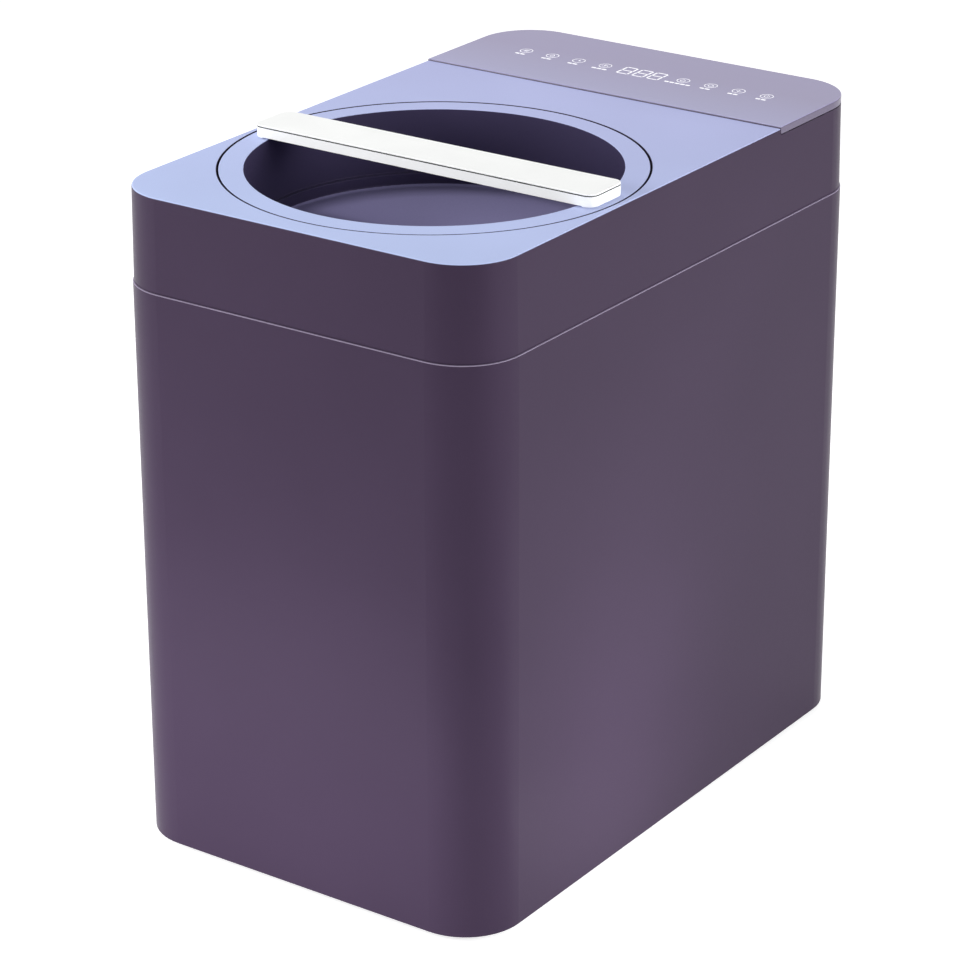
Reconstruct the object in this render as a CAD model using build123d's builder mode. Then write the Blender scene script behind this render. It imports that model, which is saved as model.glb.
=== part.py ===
"""Electric food waste composter, as an assembly of separate pieces.

Frame: millimetres, +Z up, origin on the floor under the middle of the body.
The front faces -Y, the control panel lies along the back edge of the deck (+Y).
"""

import os
from math import acos, atan, cos, degrees, pi, radians, sin, sqrt, tan

from build123d import *

os.makedirs("parts", exist_ok=True)

# ---------------------------------------------------------------- outer form
body_width = 252.5
body_depth = 400.0
deck_z = 400.0  # deck above the floor
collar_height = 55.3  # upper housing, from the seam to the deck
corner_radius = 36.0
wall = 2.5
deck_thickness = 3.0
collar_draft = 0.8  # lean of the collar's side over its height
seam_step = 0.6  # the lower housing stands this far proud of the collar
seam_round = 0.5  # softened edge along the top of the lower housing
seam_groove_depth = 0.4  # shadow line at the foot of the collar
seam_groove_height = 1.1
deck_edge_round = 1.0
lip_height = 8.0  # collar lip that plugs into the lower housing
lip_thickness = 2.0
fit_gap = 0.25  # between pieces that plug together
foot_height = 4.5
foot_radius = 14.0
foot_inset_x = 31.0
foot_inset_y = 35.0
foot_chamfer = 0.8
foot_stem_radius = 3.5
foot_barb = 0.8
foot_barb_height = 2.0

# ---------------------------------------------------------------- lid and its seat
side_margin = 4.9  # deck left beside the round opening
front_margin = 14.9  # deck left in front of it
lid_gap = 1.0  # dark line round the lid
ring_width = 14.1  # flat ring of the lid, round its dish
flange_thickness = 3.0
dish_depth = 46.0
dish_corner = 2.0
dish_step_width = 2.5  # the dish's foot stands in from its wall
dish_step_height = 8.0
dish_step_round = 0.9
dish_wall = 2.5
ring_edge_round = 0.6
seal_height = 3.5
seal_width = 4.5
bucket_flange_thickness = 2.0
rim_clearance = 0.5  # under the bucket's rim
ledge_thickness = 3.0
ledge_gap = 1.9  # between the ledge and the bucket's wall
seat_wall = 2.5
seal_inset = 1.2  # seal, inside the lid's rim

# ---------------------------------------------------------------- lid handle
bar_end_margin = 4.4  # ring left outside each end of the bar
bar_width = 32.0
bar_height = 6.2
bar_corner = 6.0
bar_foot_length = 6.9  # ends that rest on the ring
bar_foot_height = 0.6
bar_groove = 0.5
bar_groove_inset = 0.8
cap_height = 0.9
cap_edge_round = 0.3

# ---------------------------------------------------------------- control panel
panel_depth = 96.5
panel_rise = 1.1  # above the deck
panel_skirt = 4.4
panel_plate = 2.2
skirt_thickness = 2.0
panel_gap = 0.5  # shadow line round the panel
panel_edge_round = 0.8
skirt_round = 1.6  # along the skirt's lower front edge
pocket_depth = 9.0
pocket_floor = 3.0
key_row_inset = 46.5  # key row, from the back of the panel
key_pitch = 19.4
key_inner_x = 28.0
keys_per_side = 4
board_thickness = 1.6
board_width = 196.0
board_depth = 52.0
board_post_inset_x = 5.0
board_post_inset_y = 5.0
touch_spring_radius = 3.2
touch_spring_height = 4.6
touch_spring_hole = 1.6
panel_post_radius = 2.6
panel_post_inset = 6.0
display_width = 46.0
display_depth = 26.0
display_height = 4.0
display_window_depth = 0.8
cable_slot_inset = 18.0
cable_slot_length = 30.0
cable_slot_width = 8.0

# ---------------------------------------------------------------- bucket
bucket_wall = 1.6
bucket_floor = 2.0
bucket_lid_gap = 0.8  # between the dish and the bucket's mouth
bucket_taper = 3.5
bucket_corner = 18.0
well_gap = 1.3  # between the ledge's bore and the well liner
liner_wall = 1.2
felt_gap = 0.5
felt_thickness = 5.0
vent_hole_radius = 3.0
vent_hole_count = 7
vent_hole_step = 6.0  # degrees
vent_drop = 58.0  # vent holes, below the deck

# ---------------------------------------------------------------- base and drive bay
base_recess = 0.5
base_thickness = 3.0
base_boss_radius = 6.0
base_boss_height = 30.0
base_boss_inset = 50.0  # end bosses, from the front and back
pilot_radius = 1.6
screw_head_radius = 3.4
screw_length = 14.0
cooling_slot_x = 25.0
cooling_slot_count = 9
cooling_slot_pitch = 9.0
cooling_slot_length = 44.0
cooling_slot_width = 3.2
intake_inset = 50.0  # intake slots, from the front
drive_bay_height = 110.0
chassis_thickness = 3.0
post_radius = 6.0
post_inset_x = 31.25  # from the sides
front_post_room = 9.25  # from the felt sleeve to the front posts' axes
rear_post_gap = 25.5  # ahead of the filter case
insulation_thickness = 11.0
heater_thickness = 5.0
heater_margin = 9.0  # heater's rim inside the bucket's floor corner
heater_bore = 18.0

# ---------------------------------------------------------------- gear train
pressure_angle = radians(20)
backlash = 0.3
dedendum = 1.25  # root depth, in modules
first_module = 2.0
pinion_teeth = 15
wheel_teeth = 45
second_module = 2.5
idler_teeth = 16
output_teeth = 44
first_face = 10.0
second_face = 12.0
face_margin = 1.0  # a pinion is this much wider than its wheel, each side
stage_gap = 3.0
case_height = 48.0
case_wall = 3.0
case_floor = 4.0
case_clearance = 3.0
case_flange = 9.0
case_front_spots = (200, 270, 340)  # screws round the output gear, in degrees
case_rear_spots = (40, 140)  # screws round the pinion
output_shaft_radius = 8.0
idler_pin_radius = 5.0
motor_shaft_radius = 4.0
running_clearance = 0.05
bearing_thickness = 6.0
bearing_width = 8.0
bearing_seat_wall = 4.0
gearhead_radius = 27.0
gearhead_length = 18.0
motor_radius = 22.0
motor_length = 34.0

# ---------------------------------------------------------------- dog clutch and agitator
dog_radius = 14.0
dog_disc = 4.0
dog_lug = 5.0
dog_lug_inner = 8.0
dog_lug_angle = 50.0
dog_lug_count = 3
dog_end_gap = 0.5
coupler_disc = 3.0
coupler_gap = 2.5  # under the bucket's floor
agitator_shaft_radius = 6.0
bush_radius = 11.0
bush_flange_radius = 17.0
bush_flange = 2.5
shaft_seal_height = 1.3
hub_gap = 0.4
hub_radius = 21.0
hub_top_radius = 10.0
hub_height = 128.0
agitator_wall_gap = 5.0
scraper_height = 12.0
scraper_thickness = 5.0
arm_radius = 4.5
arm_heights = (46.0, 74.0, 102.0)  # above the scraper
paddle_length = 34.0
paddle_height = 26.0
paddle_thickness = 4.0
paddle_tilt = 32.0

# ---------------------------------------------------------------- filter drawer, fan and duct
drawer_half_width = 77.0
drawer_height = 94.0
drawer_corner = 6.0
drawer_gap = 0.8
drawer_clearance = 1.0
cover_thickness = 3.0
filter_room = 28.2  # between the well's felt and the filter case
filter_case_wall = 2.0
tray_wall = 1.8
tray_height = 30.0
cartridge_gap = 1.0
cartridge_wall = 1.6
cartridge_height = 86.0
cartridge_corner = 4.0
cartridge_round = 1.0
cartridge_slot = 3.2
top_slot_length = 36.0
top_slot_pitch_x = 44.0
top_slot_pitch_y = 7.0
top_slot_columns = 3
top_slot_rows = 11
side_slot_length = 44.0
side_slot_pitch = 7.0
side_slot_count = 18
louvre_count = 9
louvre_pitch = 6.5
louvre_height = 2.8
louvre_length = 118.0
pull_width = 54.0
pull_height = 16.0
pull_depth = 11.0
pull_wall = 2.0
fan_inset = 11.5  # fan's shaft, ahead of the filter case's middle
impeller_radius = 30.0
impeller_inner = 22.0
impeller_width = 26.0
impeller_blades = 20
blade_thickness = 1.2
volute_gap = 8.0
volute_wall = 2.0
volute_width = 36.0
outlet_width = 24.0
fan_shaft_radius = 2.0
fan_motor_radius = 15.0
fan_motor_length = 20.0
duct_radius = 14.0
duct_wall = 1.5
duct_reach = 34.0
duct_bend = 20.0
duct_z_drop = 60.0  # duct's upper run, below the deck

# ---------------------------------------------------------------- electrics
inlet_x = -60.0
inlet_z = 40.0
inlet_width = 27.0
inlet_height = 19.5
inlet_depth = 26.0
inlet_wall = 1.5
inlet_cavity = 17.0
inlet_flange = 3.0
inlet_pin_length = 14.0
power_board_inset_x = 21.0  # board's edge, from the side of the body
power_board_inset_y = 12.0  # and from its back
power_board_width = 74.0
power_board_depth = 80.0
standoff_height = 5.0

# ---------------------------------------------------------------- small details
board_corner = 3.0
seal_groove = 1.0
bar_edge_round = 0.6
handle_screw_head = 2.3
handle_screw_head_height = 1.6
handle_screw_length = 7.0
handle_screw_y = 8.0
magnet_radius = 2.2
magnet_height = 2.5
display_digits = 3
display_digit_pitch = 14.0
display_digit_width = 10.0
display_digit_height = 18.0
bucket_rim_gap = 1.8  # round the bucket's rim
bucket_mouth_round = 0.8
heater_chamfer = 0.8
element_thickness = 2.5
element_width = 7.0
element_radii = (52.0, 78.0)
element_gap_angle = 24.0
shaft_in_hub = 46.0
shaft_chamfer = 1.0
hub_blend = 12.0
hub_dome = 0.9
scraper_sweep = 62.0
arm_first = 60.0
arm_step = 60.0
paddle_corner = 5.0
chassis_gap = 0.6
chassis_notch = 20.0
seat_step = 1.5
screw_head_height = 2.4
case_screw_length = 5.5
motor_pilot_radius = 12.0
motor_round = 2.5
pin_seat = 2.5
pin_shoulder = 3.0
rim_thickness = 9.0
web_recess = 3.5
output_hub_radius = 15.0
web_hole_ring = 30.5
web_hole_count = 6
web_hole_radius = 7.0
wheel_hole_ring = 32.0
wheel_hole_count = 6
wheel_hole_radius = 6.0
tray_lift = 0.6
tray_width = 150.0
carbon_corner = 1.2
pull_corner = 4.0
pull_drop = 8.0
louvre_low = 14.0
volute_stand = 6.0
impeller_disc = 1.6
impeller_hub = 6.0
blade_angle = 35.0
fan_motor_chamfer = 1.5
sensor_angle = 45.0  # lid sensor and its magnet, round the opening
sensor_gap = 0.5
sensor_width = 14.0
sensor_depth = 6.0
sensor_height = 6.0
probe_radius = 2.5
probe_length = 8.0
probe_offset = 30.0
inlet_corner_cut = 4.5
inlet_pin_pitch = 7.0
inlet_pin_drop = 2.0
inlet_pin_width = 2.0
inlet_pin_height = 4.0
standoff_radius = 3.0
standoff_inset = 5.0
transformer_size = (30.0, 26.0, 24.0)
transformer_offset = 16.0
capacitor_radius = 6.0
capacitor_height = 22.0
capacitor_offset = 24.0
capacitor_pitch = 17.0
capacitor_count = 3
relay_size = (15.0, 19.0, 16.0)
relay_pitch = 19.0
relay_count = 2

# ---------------------------------------------------------------- derived levels and radii
body_bottom_z = foot_height
seam_z = deck_z - collar_height
collar_inset = seam_step + collar_draft  # outline of the deck, inside the lower housing's
base_z = body_bottom_z + base_recess
base_top_z = base_z + base_thickness
chassis_z = base_top_z + drive_bay_height
chassis_top_z = chassis_z + chassis_thickness
heater_z = chassis_top_z + insulation_thickness
heater_top_z = heater_z + heater_thickness

opening_radius = body_width / 2 - side_margin
lid_radius = opening_radius - lid_gap
well_radius = lid_radius - ring_width
dish_outer_radius = well_radius + dish_wall
lid_y = -body_depth / 2 + front_margin + opening_radius
lid_under_z = deck_z - flange_thickness
bucket_rim_z = lid_under_z - seal_height
ledge_z = bucket_rim_z - bucket_flange_thickness - rim_clearance
ledge_under_z = ledge_z - ledge_thickness
bucket_inner = dish_outer_radius + bucket_lid_gap
bucket_outer = bucket_inner + bucket_wall
ledge_radius = bucket_outer + ledge_gap
liner_inner = ledge_radius + well_gap
liner_outer = liner_inner + liner_wall
felt_inner = liner_outer + felt_gap
felt_outer = felt_inner + felt_thickness

bucket_rim_radius = opening_radius - bucket_rim_gap
seal_outer = lid_radius - seal_inset
screw_ring_radius = dish_outer_radius + handle_screw_head + fit_gap
handle_screw_x = sqrt(screw_ring_radius**2 - handle_screw_y**2)
handle_screw_places = [(x, y) for x in (-handle_screw_x, handle_screw_x) for y in (-handle_screw_y, handle_screw_y)]


def at_axis(height):
    """Plane square to the lid's axis at a height above the floor."""
    return Plane((0, lid_y, height))


def save(builder, label):
    """Label a finished piece and write its STEP file."""
    builder.part.label = label
    export_step(builder.part, f"parts/{label}.step")


def body_outline(inset, mode=Mode.ADD):
    """Outline of the housing, drawn a set distance inside its outer face."""
    RectangleRounded(body_width - 2 * inset, body_depth - 2 * inset, corner_radius - inset, mode=mode)


def screw(head_radius, head_height, shank_radius, shank_length):
    """Pan-head screw at the current location, head upwards and seated at height zero."""
    Cylinder(head_radius, head_height, align=(Align.CENTER, Align.CENTER, Align.MIN))
    with Locations((0, 0, -shank_length)):
        Cylinder(shank_radius, shank_length, align=(Align.CENTER, Align.CENTER, Align.MIN))


# ================================================================ housings
base_boss_x = body_width / 2 - wall - base_boss_radius + fit_gap
base_boss_y = body_depth / 2 - base_boss_inset
base_boss_places = [(x, y) for x in (-base_boss_x, base_boss_x) for y in (-base_boss_y, 0, base_boss_y)]
drawer_z = chassis_top_z + filter_case_wall + drawer_clearance  # drawer's underside
drawer_mid_z = drawer_z + drawer_height / 2
rear_plane = Plane((0, body_depth / 2, 0), x_dir=(-1, 0, 0), z_dir=(0, 1, 0))
slot_z = (base_top_z + chassis_z) / 2

with BuildPart() as lower_housing:
    with BuildSketch(Plane.XY.offset(body_bottom_z)):
        body_outline(0)
    extrude(amount=seam_z - body_bottom_z)
    fillet(lower_housing.edges().group_by(Axis.Z)[-1], seam_round)
    with BuildSketch(Plane.XY.offset(body_bottom_z)):
        body_outline(wall)
    extrude(amount=seam_z - body_bottom_z, mode=Mode.SUBTRACT)
    # screw bosses for the base plate, joined to the side walls
    with BuildSketch(Plane.XY.offset(base_top_z)):
        with Locations(base_boss_places):
            Circle(base_boss_radius)
    extrude(amount=base_boss_height)
    with BuildSketch(Plane.XY.offset(base_top_z)):
        with Locations(base_boss_places):
            Circle(pilot_radius)
    extrude(amount=base_boss_height, mode=Mode.SUBTRACT)
    # rear openings: filter drawer, power inlet and cooling slots
    with BuildSketch(rear_plane):
        with Locations((0, drawer_mid_z)):
            RectangleRounded(2 * (drawer_half_width + drawer_gap), drawer_height + 2 * drawer_gap, drawer_corner)
        with Locations((-inlet_x, inlet_z)):
            Rectangle(inlet_width + 2 * fit_gap, inlet_height + 2 * fit_gap)
        with Locations((-cooling_slot_x, slot_z)):
            with GridLocations(cooling_slot_pitch, 1, cooling_slot_count, 1):
                SlotOverall(cooling_slot_length, cooling_slot_width, rotation=90)
    extrude(amount=-wall, mode=Mode.SUBTRACT)
save(lower_housing, "lower_housing")

panel_front_y = body_depth / 2 - panel_depth
rebate_z = deck_z + panel_rise - panel_skirt - panel_gap
pocket_z = deck_z - pocket_depth
plate_under_z = deck_z + panel_rise - panel_plate
board_z = plate_under_z - touch_spring_height - board_thickness
key_y = body_depth / 2 - key_row_inset
key_x = [side * (key_inner_x + step * key_pitch) for side in (-1, 1) for step in range(keys_per_side)]
panel_post_x = body_width / 2 - collar_inset - wall - panel_post_inset
panel_post_back_y = body_depth / 2 - collar_inset - wall - panel_post_inset
panel_post_front_y = panel_front_y + panel_post_inset
panel_post_places = [(x, panel_post_front_y) for x in (-panel_post_x, 0, panel_post_x)]
panel_post_places += [(x, panel_post_back_y) for x in (-panel_post_x / 2, panel_post_x / 2)]
board_post_x = board_width / 2 - board_post_inset_x
board_post_y = board_depth / 2 - board_post_inset_y
board_post_places = [(x, key_y + y) for x in (-board_post_x, board_post_x) for y in (-board_post_y, board_post_y)]


def behind(front_y):
    """Keep only the part of the current sketch that lies behind a line across the deck."""
    with Locations((0, front_y)):
        Rectangle(2 * body_width, body_depth, align=(Align.CENTER, Align.MIN), mode=Mode.INTERSECT)


with BuildPart() as upper_housing:
    with BuildSketch(Plane.XY.offset(seam_z)):
        body_outline(seam_step)
    extrude(amount=collar_height, taper=degrees(atan(collar_draft / collar_height)))
    fillet(upper_housing.edges().group_by(Axis.Z)[-1], deck_edge_round)
    with BuildSketch(Plane.XY.offset(seam_z)):
        body_outline(collar_inset + wall)
    extrude(amount=collar_height - deck_thickness, mode=Mode.SUBTRACT)
    # shadow line along the seam
    with BuildSketch(Plane.XY.offset(seam_z)):
        body_outline(-wall)
        body_outline(seam_step + seam_groove_depth, Mode.SUBTRACT)
    extrude(amount=seam_groove_height, mode=Mode.SUBTRACT)
    # lip that plugs into the lower housing
    with BuildSketch(Plane.XY.offset(seam_z - lip_height)):
        body_outline(wall + fit_gap)
    extrude(amount=2 * lip_height)
    with BuildSketch(Plane.XY.offset(seam_z - lip_height)):
        body_outline(wall + fit_gap + lip_thickness)
    extrude(amount=2 * lip_height, mode=Mode.SUBTRACT)
    # seat for the lid and the bucket's rim
    with BuildSketch(at_axis(ledge_under_z)):
        Circle(opening_radius + seat_wall)
    extrude(amount=deck_z - deck_thickness / 2 - ledge_under_z)
    with BuildSketch(at_axis(ledge_under_z)):
        Circle(ledge_radius)
    extrude(amount=deck_z - ledge_under_z, mode=Mode.SUBTRACT)
    with BuildSketch(at_axis(ledge_z)):
        Circle(opening_radius)
    extrude(amount=deck_z - ledge_z, mode=Mode.SUBTRACT)
    # pocket for the panel and its boards: a block under the deck, then the hollow
    with BuildSketch(Plane.XY.offset(pocket_z - pocket_floor)):
        body_outline(collar_inset + wall / 2)
        behind(panel_front_y - panel_gap - wall)
    extrude(amount=pocket_depth + pocket_floor - deck_thickness / 2)
    with BuildSketch(Plane.XY.offset(pocket_z)):
        body_outline(collar_inset + wall)
        behind(panel_front_y - panel_gap)
    extrude(amount=pocket_depth, mode=Mode.SUBTRACT)
    # rebate for the panel and its skirt, right across, with a round inner corner
    with BuildSketch(Plane.YZ) as rebate:
        with Locations((panel_front_y - panel_gap, rebate_z)):
            Rectangle(panel_depth + wall, panel_skirt + wall, align=(Align.MIN, Align.MIN))
        fillet(rebate.vertices().group_by(Axis.Y)[0].sort_by(Axis.X)[0], skirt_round + panel_gap)
    extrude(amount=body_width, both=True, mode=Mode.SUBTRACT)
    # posts that carry the panel and the touch board
    with BuildSketch(Plane.XY.offset(pocket_z - pocket_floor / 2)):
        with Locations(panel_post_places):
            Circle(panel_post_radius)
    extrude(amount=plate_under_z - pocket_z + pocket_floor / 2)
    with BuildSketch(Plane.XY.offset(pocket_z - pocket_floor / 2)):
        with Locations(board_post_places):
            Circle(panel_post_radius)
    extrude(amount=board_z - pocket_z + pocket_floor / 2)
    # cable slot through the pocket's floor
    with BuildSketch(Plane.XY.offset(pocket_z - pocket_floor)):
        with Locations((0, body_depth / 2 - cable_slot_inset)):
            SlotOverall(cable_slot_length, cable_slot_width)
    extrude(amount=pocket_floor, mode=Mode.SUBTRACT)
save(upper_housing, "upper_housing")

foot_grid = (body_width - 2 * foot_inset_x, body_depth - 2 * foot_inset_y, 2, 2)

with BuildPart() as base_plate:
    with BuildSketch(Plane.XY.offset(base_z)):
        body_outline(wall + fit_gap)
    extrude(amount=base_thickness)
    with BuildSketch(Plane.XY.offset(base_z)):
        with Locations(base_boss_places):
            Circle(pilot_radius + fit_gap)
        with GridLocations(*foot_grid):
            Circle(foot_stem_radius + fit_gap)
        with Locations((0, intake_inset - body_depth / 2)):
            with GridLocations(cooling_slot_pitch, 1, cooling_slot_count, 1):
                SlotOverall(cooling_slot_length, cooling_slot_width, rotation=90)
    extrude(amount=base_thickness, mode=Mode.SUBTRACT)
save(base_plate, "base_plate")

with BuildPart() as rubber_feet:
    with BuildSketch(Plane.XY):
        with GridLocations(*foot_grid):
            Circle(foot_radius)
    extrude(amount=base_z)
    chamfer(rubber_feet.edges().group_by(Axis.Z)[0], foot_chamfer)
    with BuildSketch(Plane.XY.offset(base_z)):
        with GridLocations(*foot_grid):
            Circle(foot_stem_radius)
    extrude(amount=base_thickness + fit_gap)
    with BuildSketch(Plane.XY.offset(base_top_z + fit_gap)):
        with GridLocations(*foot_grid):
            Circle(foot_stem_radius + foot_barb)
    extrude(amount=foot_barb_height)
    chamfer(rubber_feet.edges().group_by(Axis.Z)[-1], foot_barb)
save(rubber_feet, "rubber_feet")

with BuildPart() as base_screws:
    for x, y in base_boss_places:
        with Locations(Location((x, y, base_z), (180, 0, 0))):
            screw(screw_head_radius, base_recess, pilot_radius - running_clearance, screw_length)
save(base_screws, "base_screws")

# ================================================================ lid
dish_floor_z = deck_z - dish_depth
dish_under_z = dish_floor_z - dish_wall
dish_step_z = dish_floor_z + dish_step_height
dish_foot_radius = well_radius - dish_step_width
axis_section = Plane((0, lid_y, 0), x_dir=(1, 0, 0), z_dir=(0, -1, 0))  # X across, Y up the axis


def spin():
    """Revolve the pending section about the lid's axis."""
    revolve(axis=Axis((0, lid_y, 0), (0, 0, 1)))


def section(points, radii):
    """Face of a turned piece: its outline from axis to axis, with a radius at each corner."""
    with BuildLine() as outline:
        FilletPolyline(*points, radius=radii)
        Line(points[-1], points[0])
    make_face(outline.edges())


def ring(inner, outer, low, high):
    """Section of a plain ring, between two radii and two heights."""
    with Locations(((inner + outer) / 2, (low + high) / 2)):
        Rectangle(outer - inner, high - low)


with BuildPart() as lid_dish:
    with BuildSketch(axis_section):
        section(
            [
                (0, dish_floor_z),
                (dish_foot_radius, dish_floor_z),
                (dish_foot_radius, dish_step_z),
                (well_radius, dish_step_z),
                (well_radius, deck_z),
                (lid_radius, deck_z),
                (lid_radius, lid_under_z),
                (dish_outer_radius, lid_under_z),
                (dish_outer_radius, dish_step_z - dish_wall),
                (dish_foot_radius + dish_wall, dish_step_z - dish_wall),
                (dish_foot_radius + dish_wall, dish_under_z),
                (0, dish_under_z),
            ],
            [
                dish_corner,
                dish_step_round,
                dish_step_round,
                ring_edge_round,
                ring_edge_round,
                0,
                0,
                dish_step_round,
                dish_step_round,
                dish_corner + dish_wall,
            ],
        )
    spin()
    with BuildSketch(at_axis(lid_under_z)):
        with Locations(handle_screw_places):
            Circle(pilot_radius + fit_gap)
    extrude(amount=flange_thickness, mode=Mode.SUBTRACT)
save(lid_dish, "lid_dish")

with BuildPart() as lid_seal:
    with BuildSketch(axis_section):
        ring(seal_outer - seal_width, seal_outer, bucket_rim_z, lid_under_z)
    spin()
    # two grooves that leave soft lips against the rim
    with BuildSketch(axis_section):
        with Locations([(radius, (bucket_rim_z + lid_under_z) / 2) for radius in (seal_outer - seal_width, seal_outer)]):
            RegularPolygon(seal_groove, 4)
    revolve(axis=Axis((0, lid_y, 0), (0, 0, 1)), mode=Mode.SUBTRACT)
save(lid_seal, "lid_seal")

bar_length = 2 * (lid_radius - bar_end_margin)
bar_top_z = deck_z + bar_height
cap_z = bar_top_z + bar_groove

with BuildPart() as handle_bar:
    with BuildSketch(at_axis(deck_z)):
        RectangleRounded(bar_length, bar_width, bar_corner)
    extrude(amount=bar_height)
    fillet(handle_bar.edges().group_by(Axis.Z)[0], bar_edge_round)
    # relieved underneath, so that only the two ends rest on the lid's ring
    with BuildSketch(at_axis(deck_z)):
        Rectangle(bar_length - 2 * bar_foot_length, bar_width)
    extrude(amount=bar_foot_height, mode=Mode.SUBTRACT)
    # raised land that carries the cap and leaves a shadow line round it
    with BuildSketch(at_axis(bar_top_z)):
        RectangleRounded(
            bar_length - 2 * bar_groove_inset, bar_width - 2 * bar_groove_inset, bar_corner - bar_groove_inset
        )
    extrude(amount=bar_groove)
    with BuildSketch(at_axis(deck_z)):
        with Locations(handle_screw_places):
            Circle(pilot_radius)
    extrude(amount=bar_height - bar_groove, mode=Mode.SUBTRACT)
save(handle_bar, "handle_bar")

with BuildPart() as handle_cap:
    with BuildSketch(at_axis(cap_z)):
        RectangleRounded(bar_length, bar_width, bar_corner)
    extrude(amount=cap_height)
    fillet(handle_cap.edges().group_by(Axis.Z)[-1], cap_edge_round)
save(handle_cap, "handle_cap")

with BuildPart() as handle_screws:
    for x, y in handle_screw_places:
        with Locations(Location((x, lid_y + y, lid_under_z), (180, 0, 0))):
            screw(handle_screw_head, handle_screw_head_height, pilot_radius - running_clearance, handle_screw_length)
save(handle_screws, "handle_screws")

with BuildPart() as lid_magnet:
    with BuildSketch(at_axis(lid_under_z - magnet_height)):
        with PolarLocations(screw_ring_radius, 1, start_angle=sensor_angle):
            Circle(magnet_radius)
    extrude(amount=magnet_height)
save(lid_magnet, "lid_magnet")

# ================================================================ control panel
with BuildPart() as control_panel:
    with BuildSketch(Plane.XY.offset(deck_z + panel_rise - panel_skirt)):
        body_outline(collar_inset)
        behind(panel_front_y)
    extrude(amount=panel_skirt)
    fillet(control_panel.edges().group_by(Axis.Z)[-1], panel_edge_round)
    fillet(control_panel.edges().group_by(Axis.Z)[0].sort_by(Axis.Y)[0], skirt_round)
    with BuildSketch(Plane.XY.offset(deck_z + panel_rise - panel_skirt)):
        body_outline(collar_inset + skirt_thickness)
        behind(panel_front_y + skirt_thickness)
    extrude(amount=panel_skirt - panel_plate, mode=Mode.SUBTRACT)
save(control_panel, "control_panel")

with BuildPart() as touch_board:
    with BuildSketch(Plane.XY.offset(board_z)):
        with Locations((0, key_y)):
            RectangleRounded(board_width, board_depth, board_corner)
    extrude(amount=board_thickness)
save(touch_board, "touch_board")

with BuildPart() as touch_springs:
    with BuildSketch(Plane.XY.offset(board_z + board_thickness)):
        with Locations([(x, key_y) for x in key_x]):
            Circle(touch_spring_radius)
            Circle(touch_spring_hole, mode=Mode.SUBTRACT)
    extrude(amount=touch_spring_height)
save(touch_springs, "touch_springs")

with BuildPart() as display_module:
    with Locations((0, key_y, board_z + board_thickness)):
        Box(display_width, display_depth, display_height, align=(Align.CENTER, Align.CENTER, Align.MIN))
    with Locations((0, key_y, board_z + board_thickness + display_height)):
        with GridLocations(display_digit_pitch, 1, display_digits, 1):
            Box(
                display_digit_width,
                display_digit_height,
                2 * display_window_depth,
                mode=Mode.SUBTRACT,
            )
save(display_module, "display_module")

# ================================================================ well, heater and bucket
floor_inner_radius = bucket_inner - bucket_taper
heater_radius = floor_inner_radius - heater_margin
bucket_floor_z = heater_top_z + bucket_floor
vent_z = deck_z - vent_drop
filter_back_y = body_depth / 2 - wall
filter_front_y = lid_y + felt_outer + filter_room
filter_length = filter_back_y - filter_front_y
fan_y = (filter_front_y + filter_back_y) / 2 - fan_inset
duct_z = deck_z - duct_z_drop
duct_x = volute_width / 2 + duct_reach

with BuildPart() as well_liner:
    with BuildSketch(axis_section):
        ring(liner_inner, liner_outer, chassis_top_z, ledge_under_z)
        ring(heater_radius + heater_margin, liner_outer, chassis_top_z, chassis_top_z + liner_wall)
    spin()
    with BuildSketch(Plane((duct_x, lid_y, duct_z), x_dir=(1, 0, 0), z_dir=(0, 1, 0))):
        Circle(duct_radius - duct_wall)
    extrude(amount=felt_outer, mode=Mode.SUBTRACT)
save(well_liner, "well_liner")

with BuildPart() as felt_sleeve:
    with BuildSketch(axis_section):
        ring(felt_inner, felt_outer, chassis_top_z + felt_gap, ledge_under_z - felt_gap)
    spin()
    with BuildSketch(Plane((duct_x, lid_y, duct_z), x_dir=(1, 0, 0), z_dir=(0, 1, 0))):
        Circle(duct_radius + felt_gap)
    extrude(amount=2 * felt_outer, mode=Mode.SUBTRACT)
save(felt_sleeve, "felt_sleeve")

with BuildPart() as insulation_disc:
    with BuildSketch(at_axis(chassis_top_z)):
        Circle(heater_radius)
        Circle(heater_bore, mode=Mode.SUBTRACT)
        with Locations((0, probe_offset)):
            Circle(probe_radius + fit_gap, mode=Mode.SUBTRACT)
    extrude(amount=insulation_thickness - element_thickness)
save(insulation_disc, "insulation_disc")

with BuildPart() as heater_plate:
    with BuildSketch(at_axis(heater_z)):
        Circle(heater_radius)
        Circle(heater_bore, mode=Mode.SUBTRACT)
    extrude(amount=heater_thickness)
    chamfer(heater_plate.edges().group_by(Axis.Z)[-1], heater_chamfer)
save(heater_plate, "heater_plate")

element_turns = [
    CenterArc((0, 0), radius, element_gap_angle / 2, 360 - element_gap_angle) for radius in element_radii
]

with BuildPart() as heating_element:
    with BuildSketch(at_axis(heater_z - element_thickness)):
        for turn in element_turns:
            SlotArc(turn, element_width)
        # cross link that joins the two turns at one end
        with PolarLocations(sum(element_radii) / 2, 1, start_angle=element_gap_angle / 2):
            Rectangle(element_radii[1] - element_radii[0], element_width)
    extrude(amount=element_thickness)
save(heating_element, "heating_element")

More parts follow.
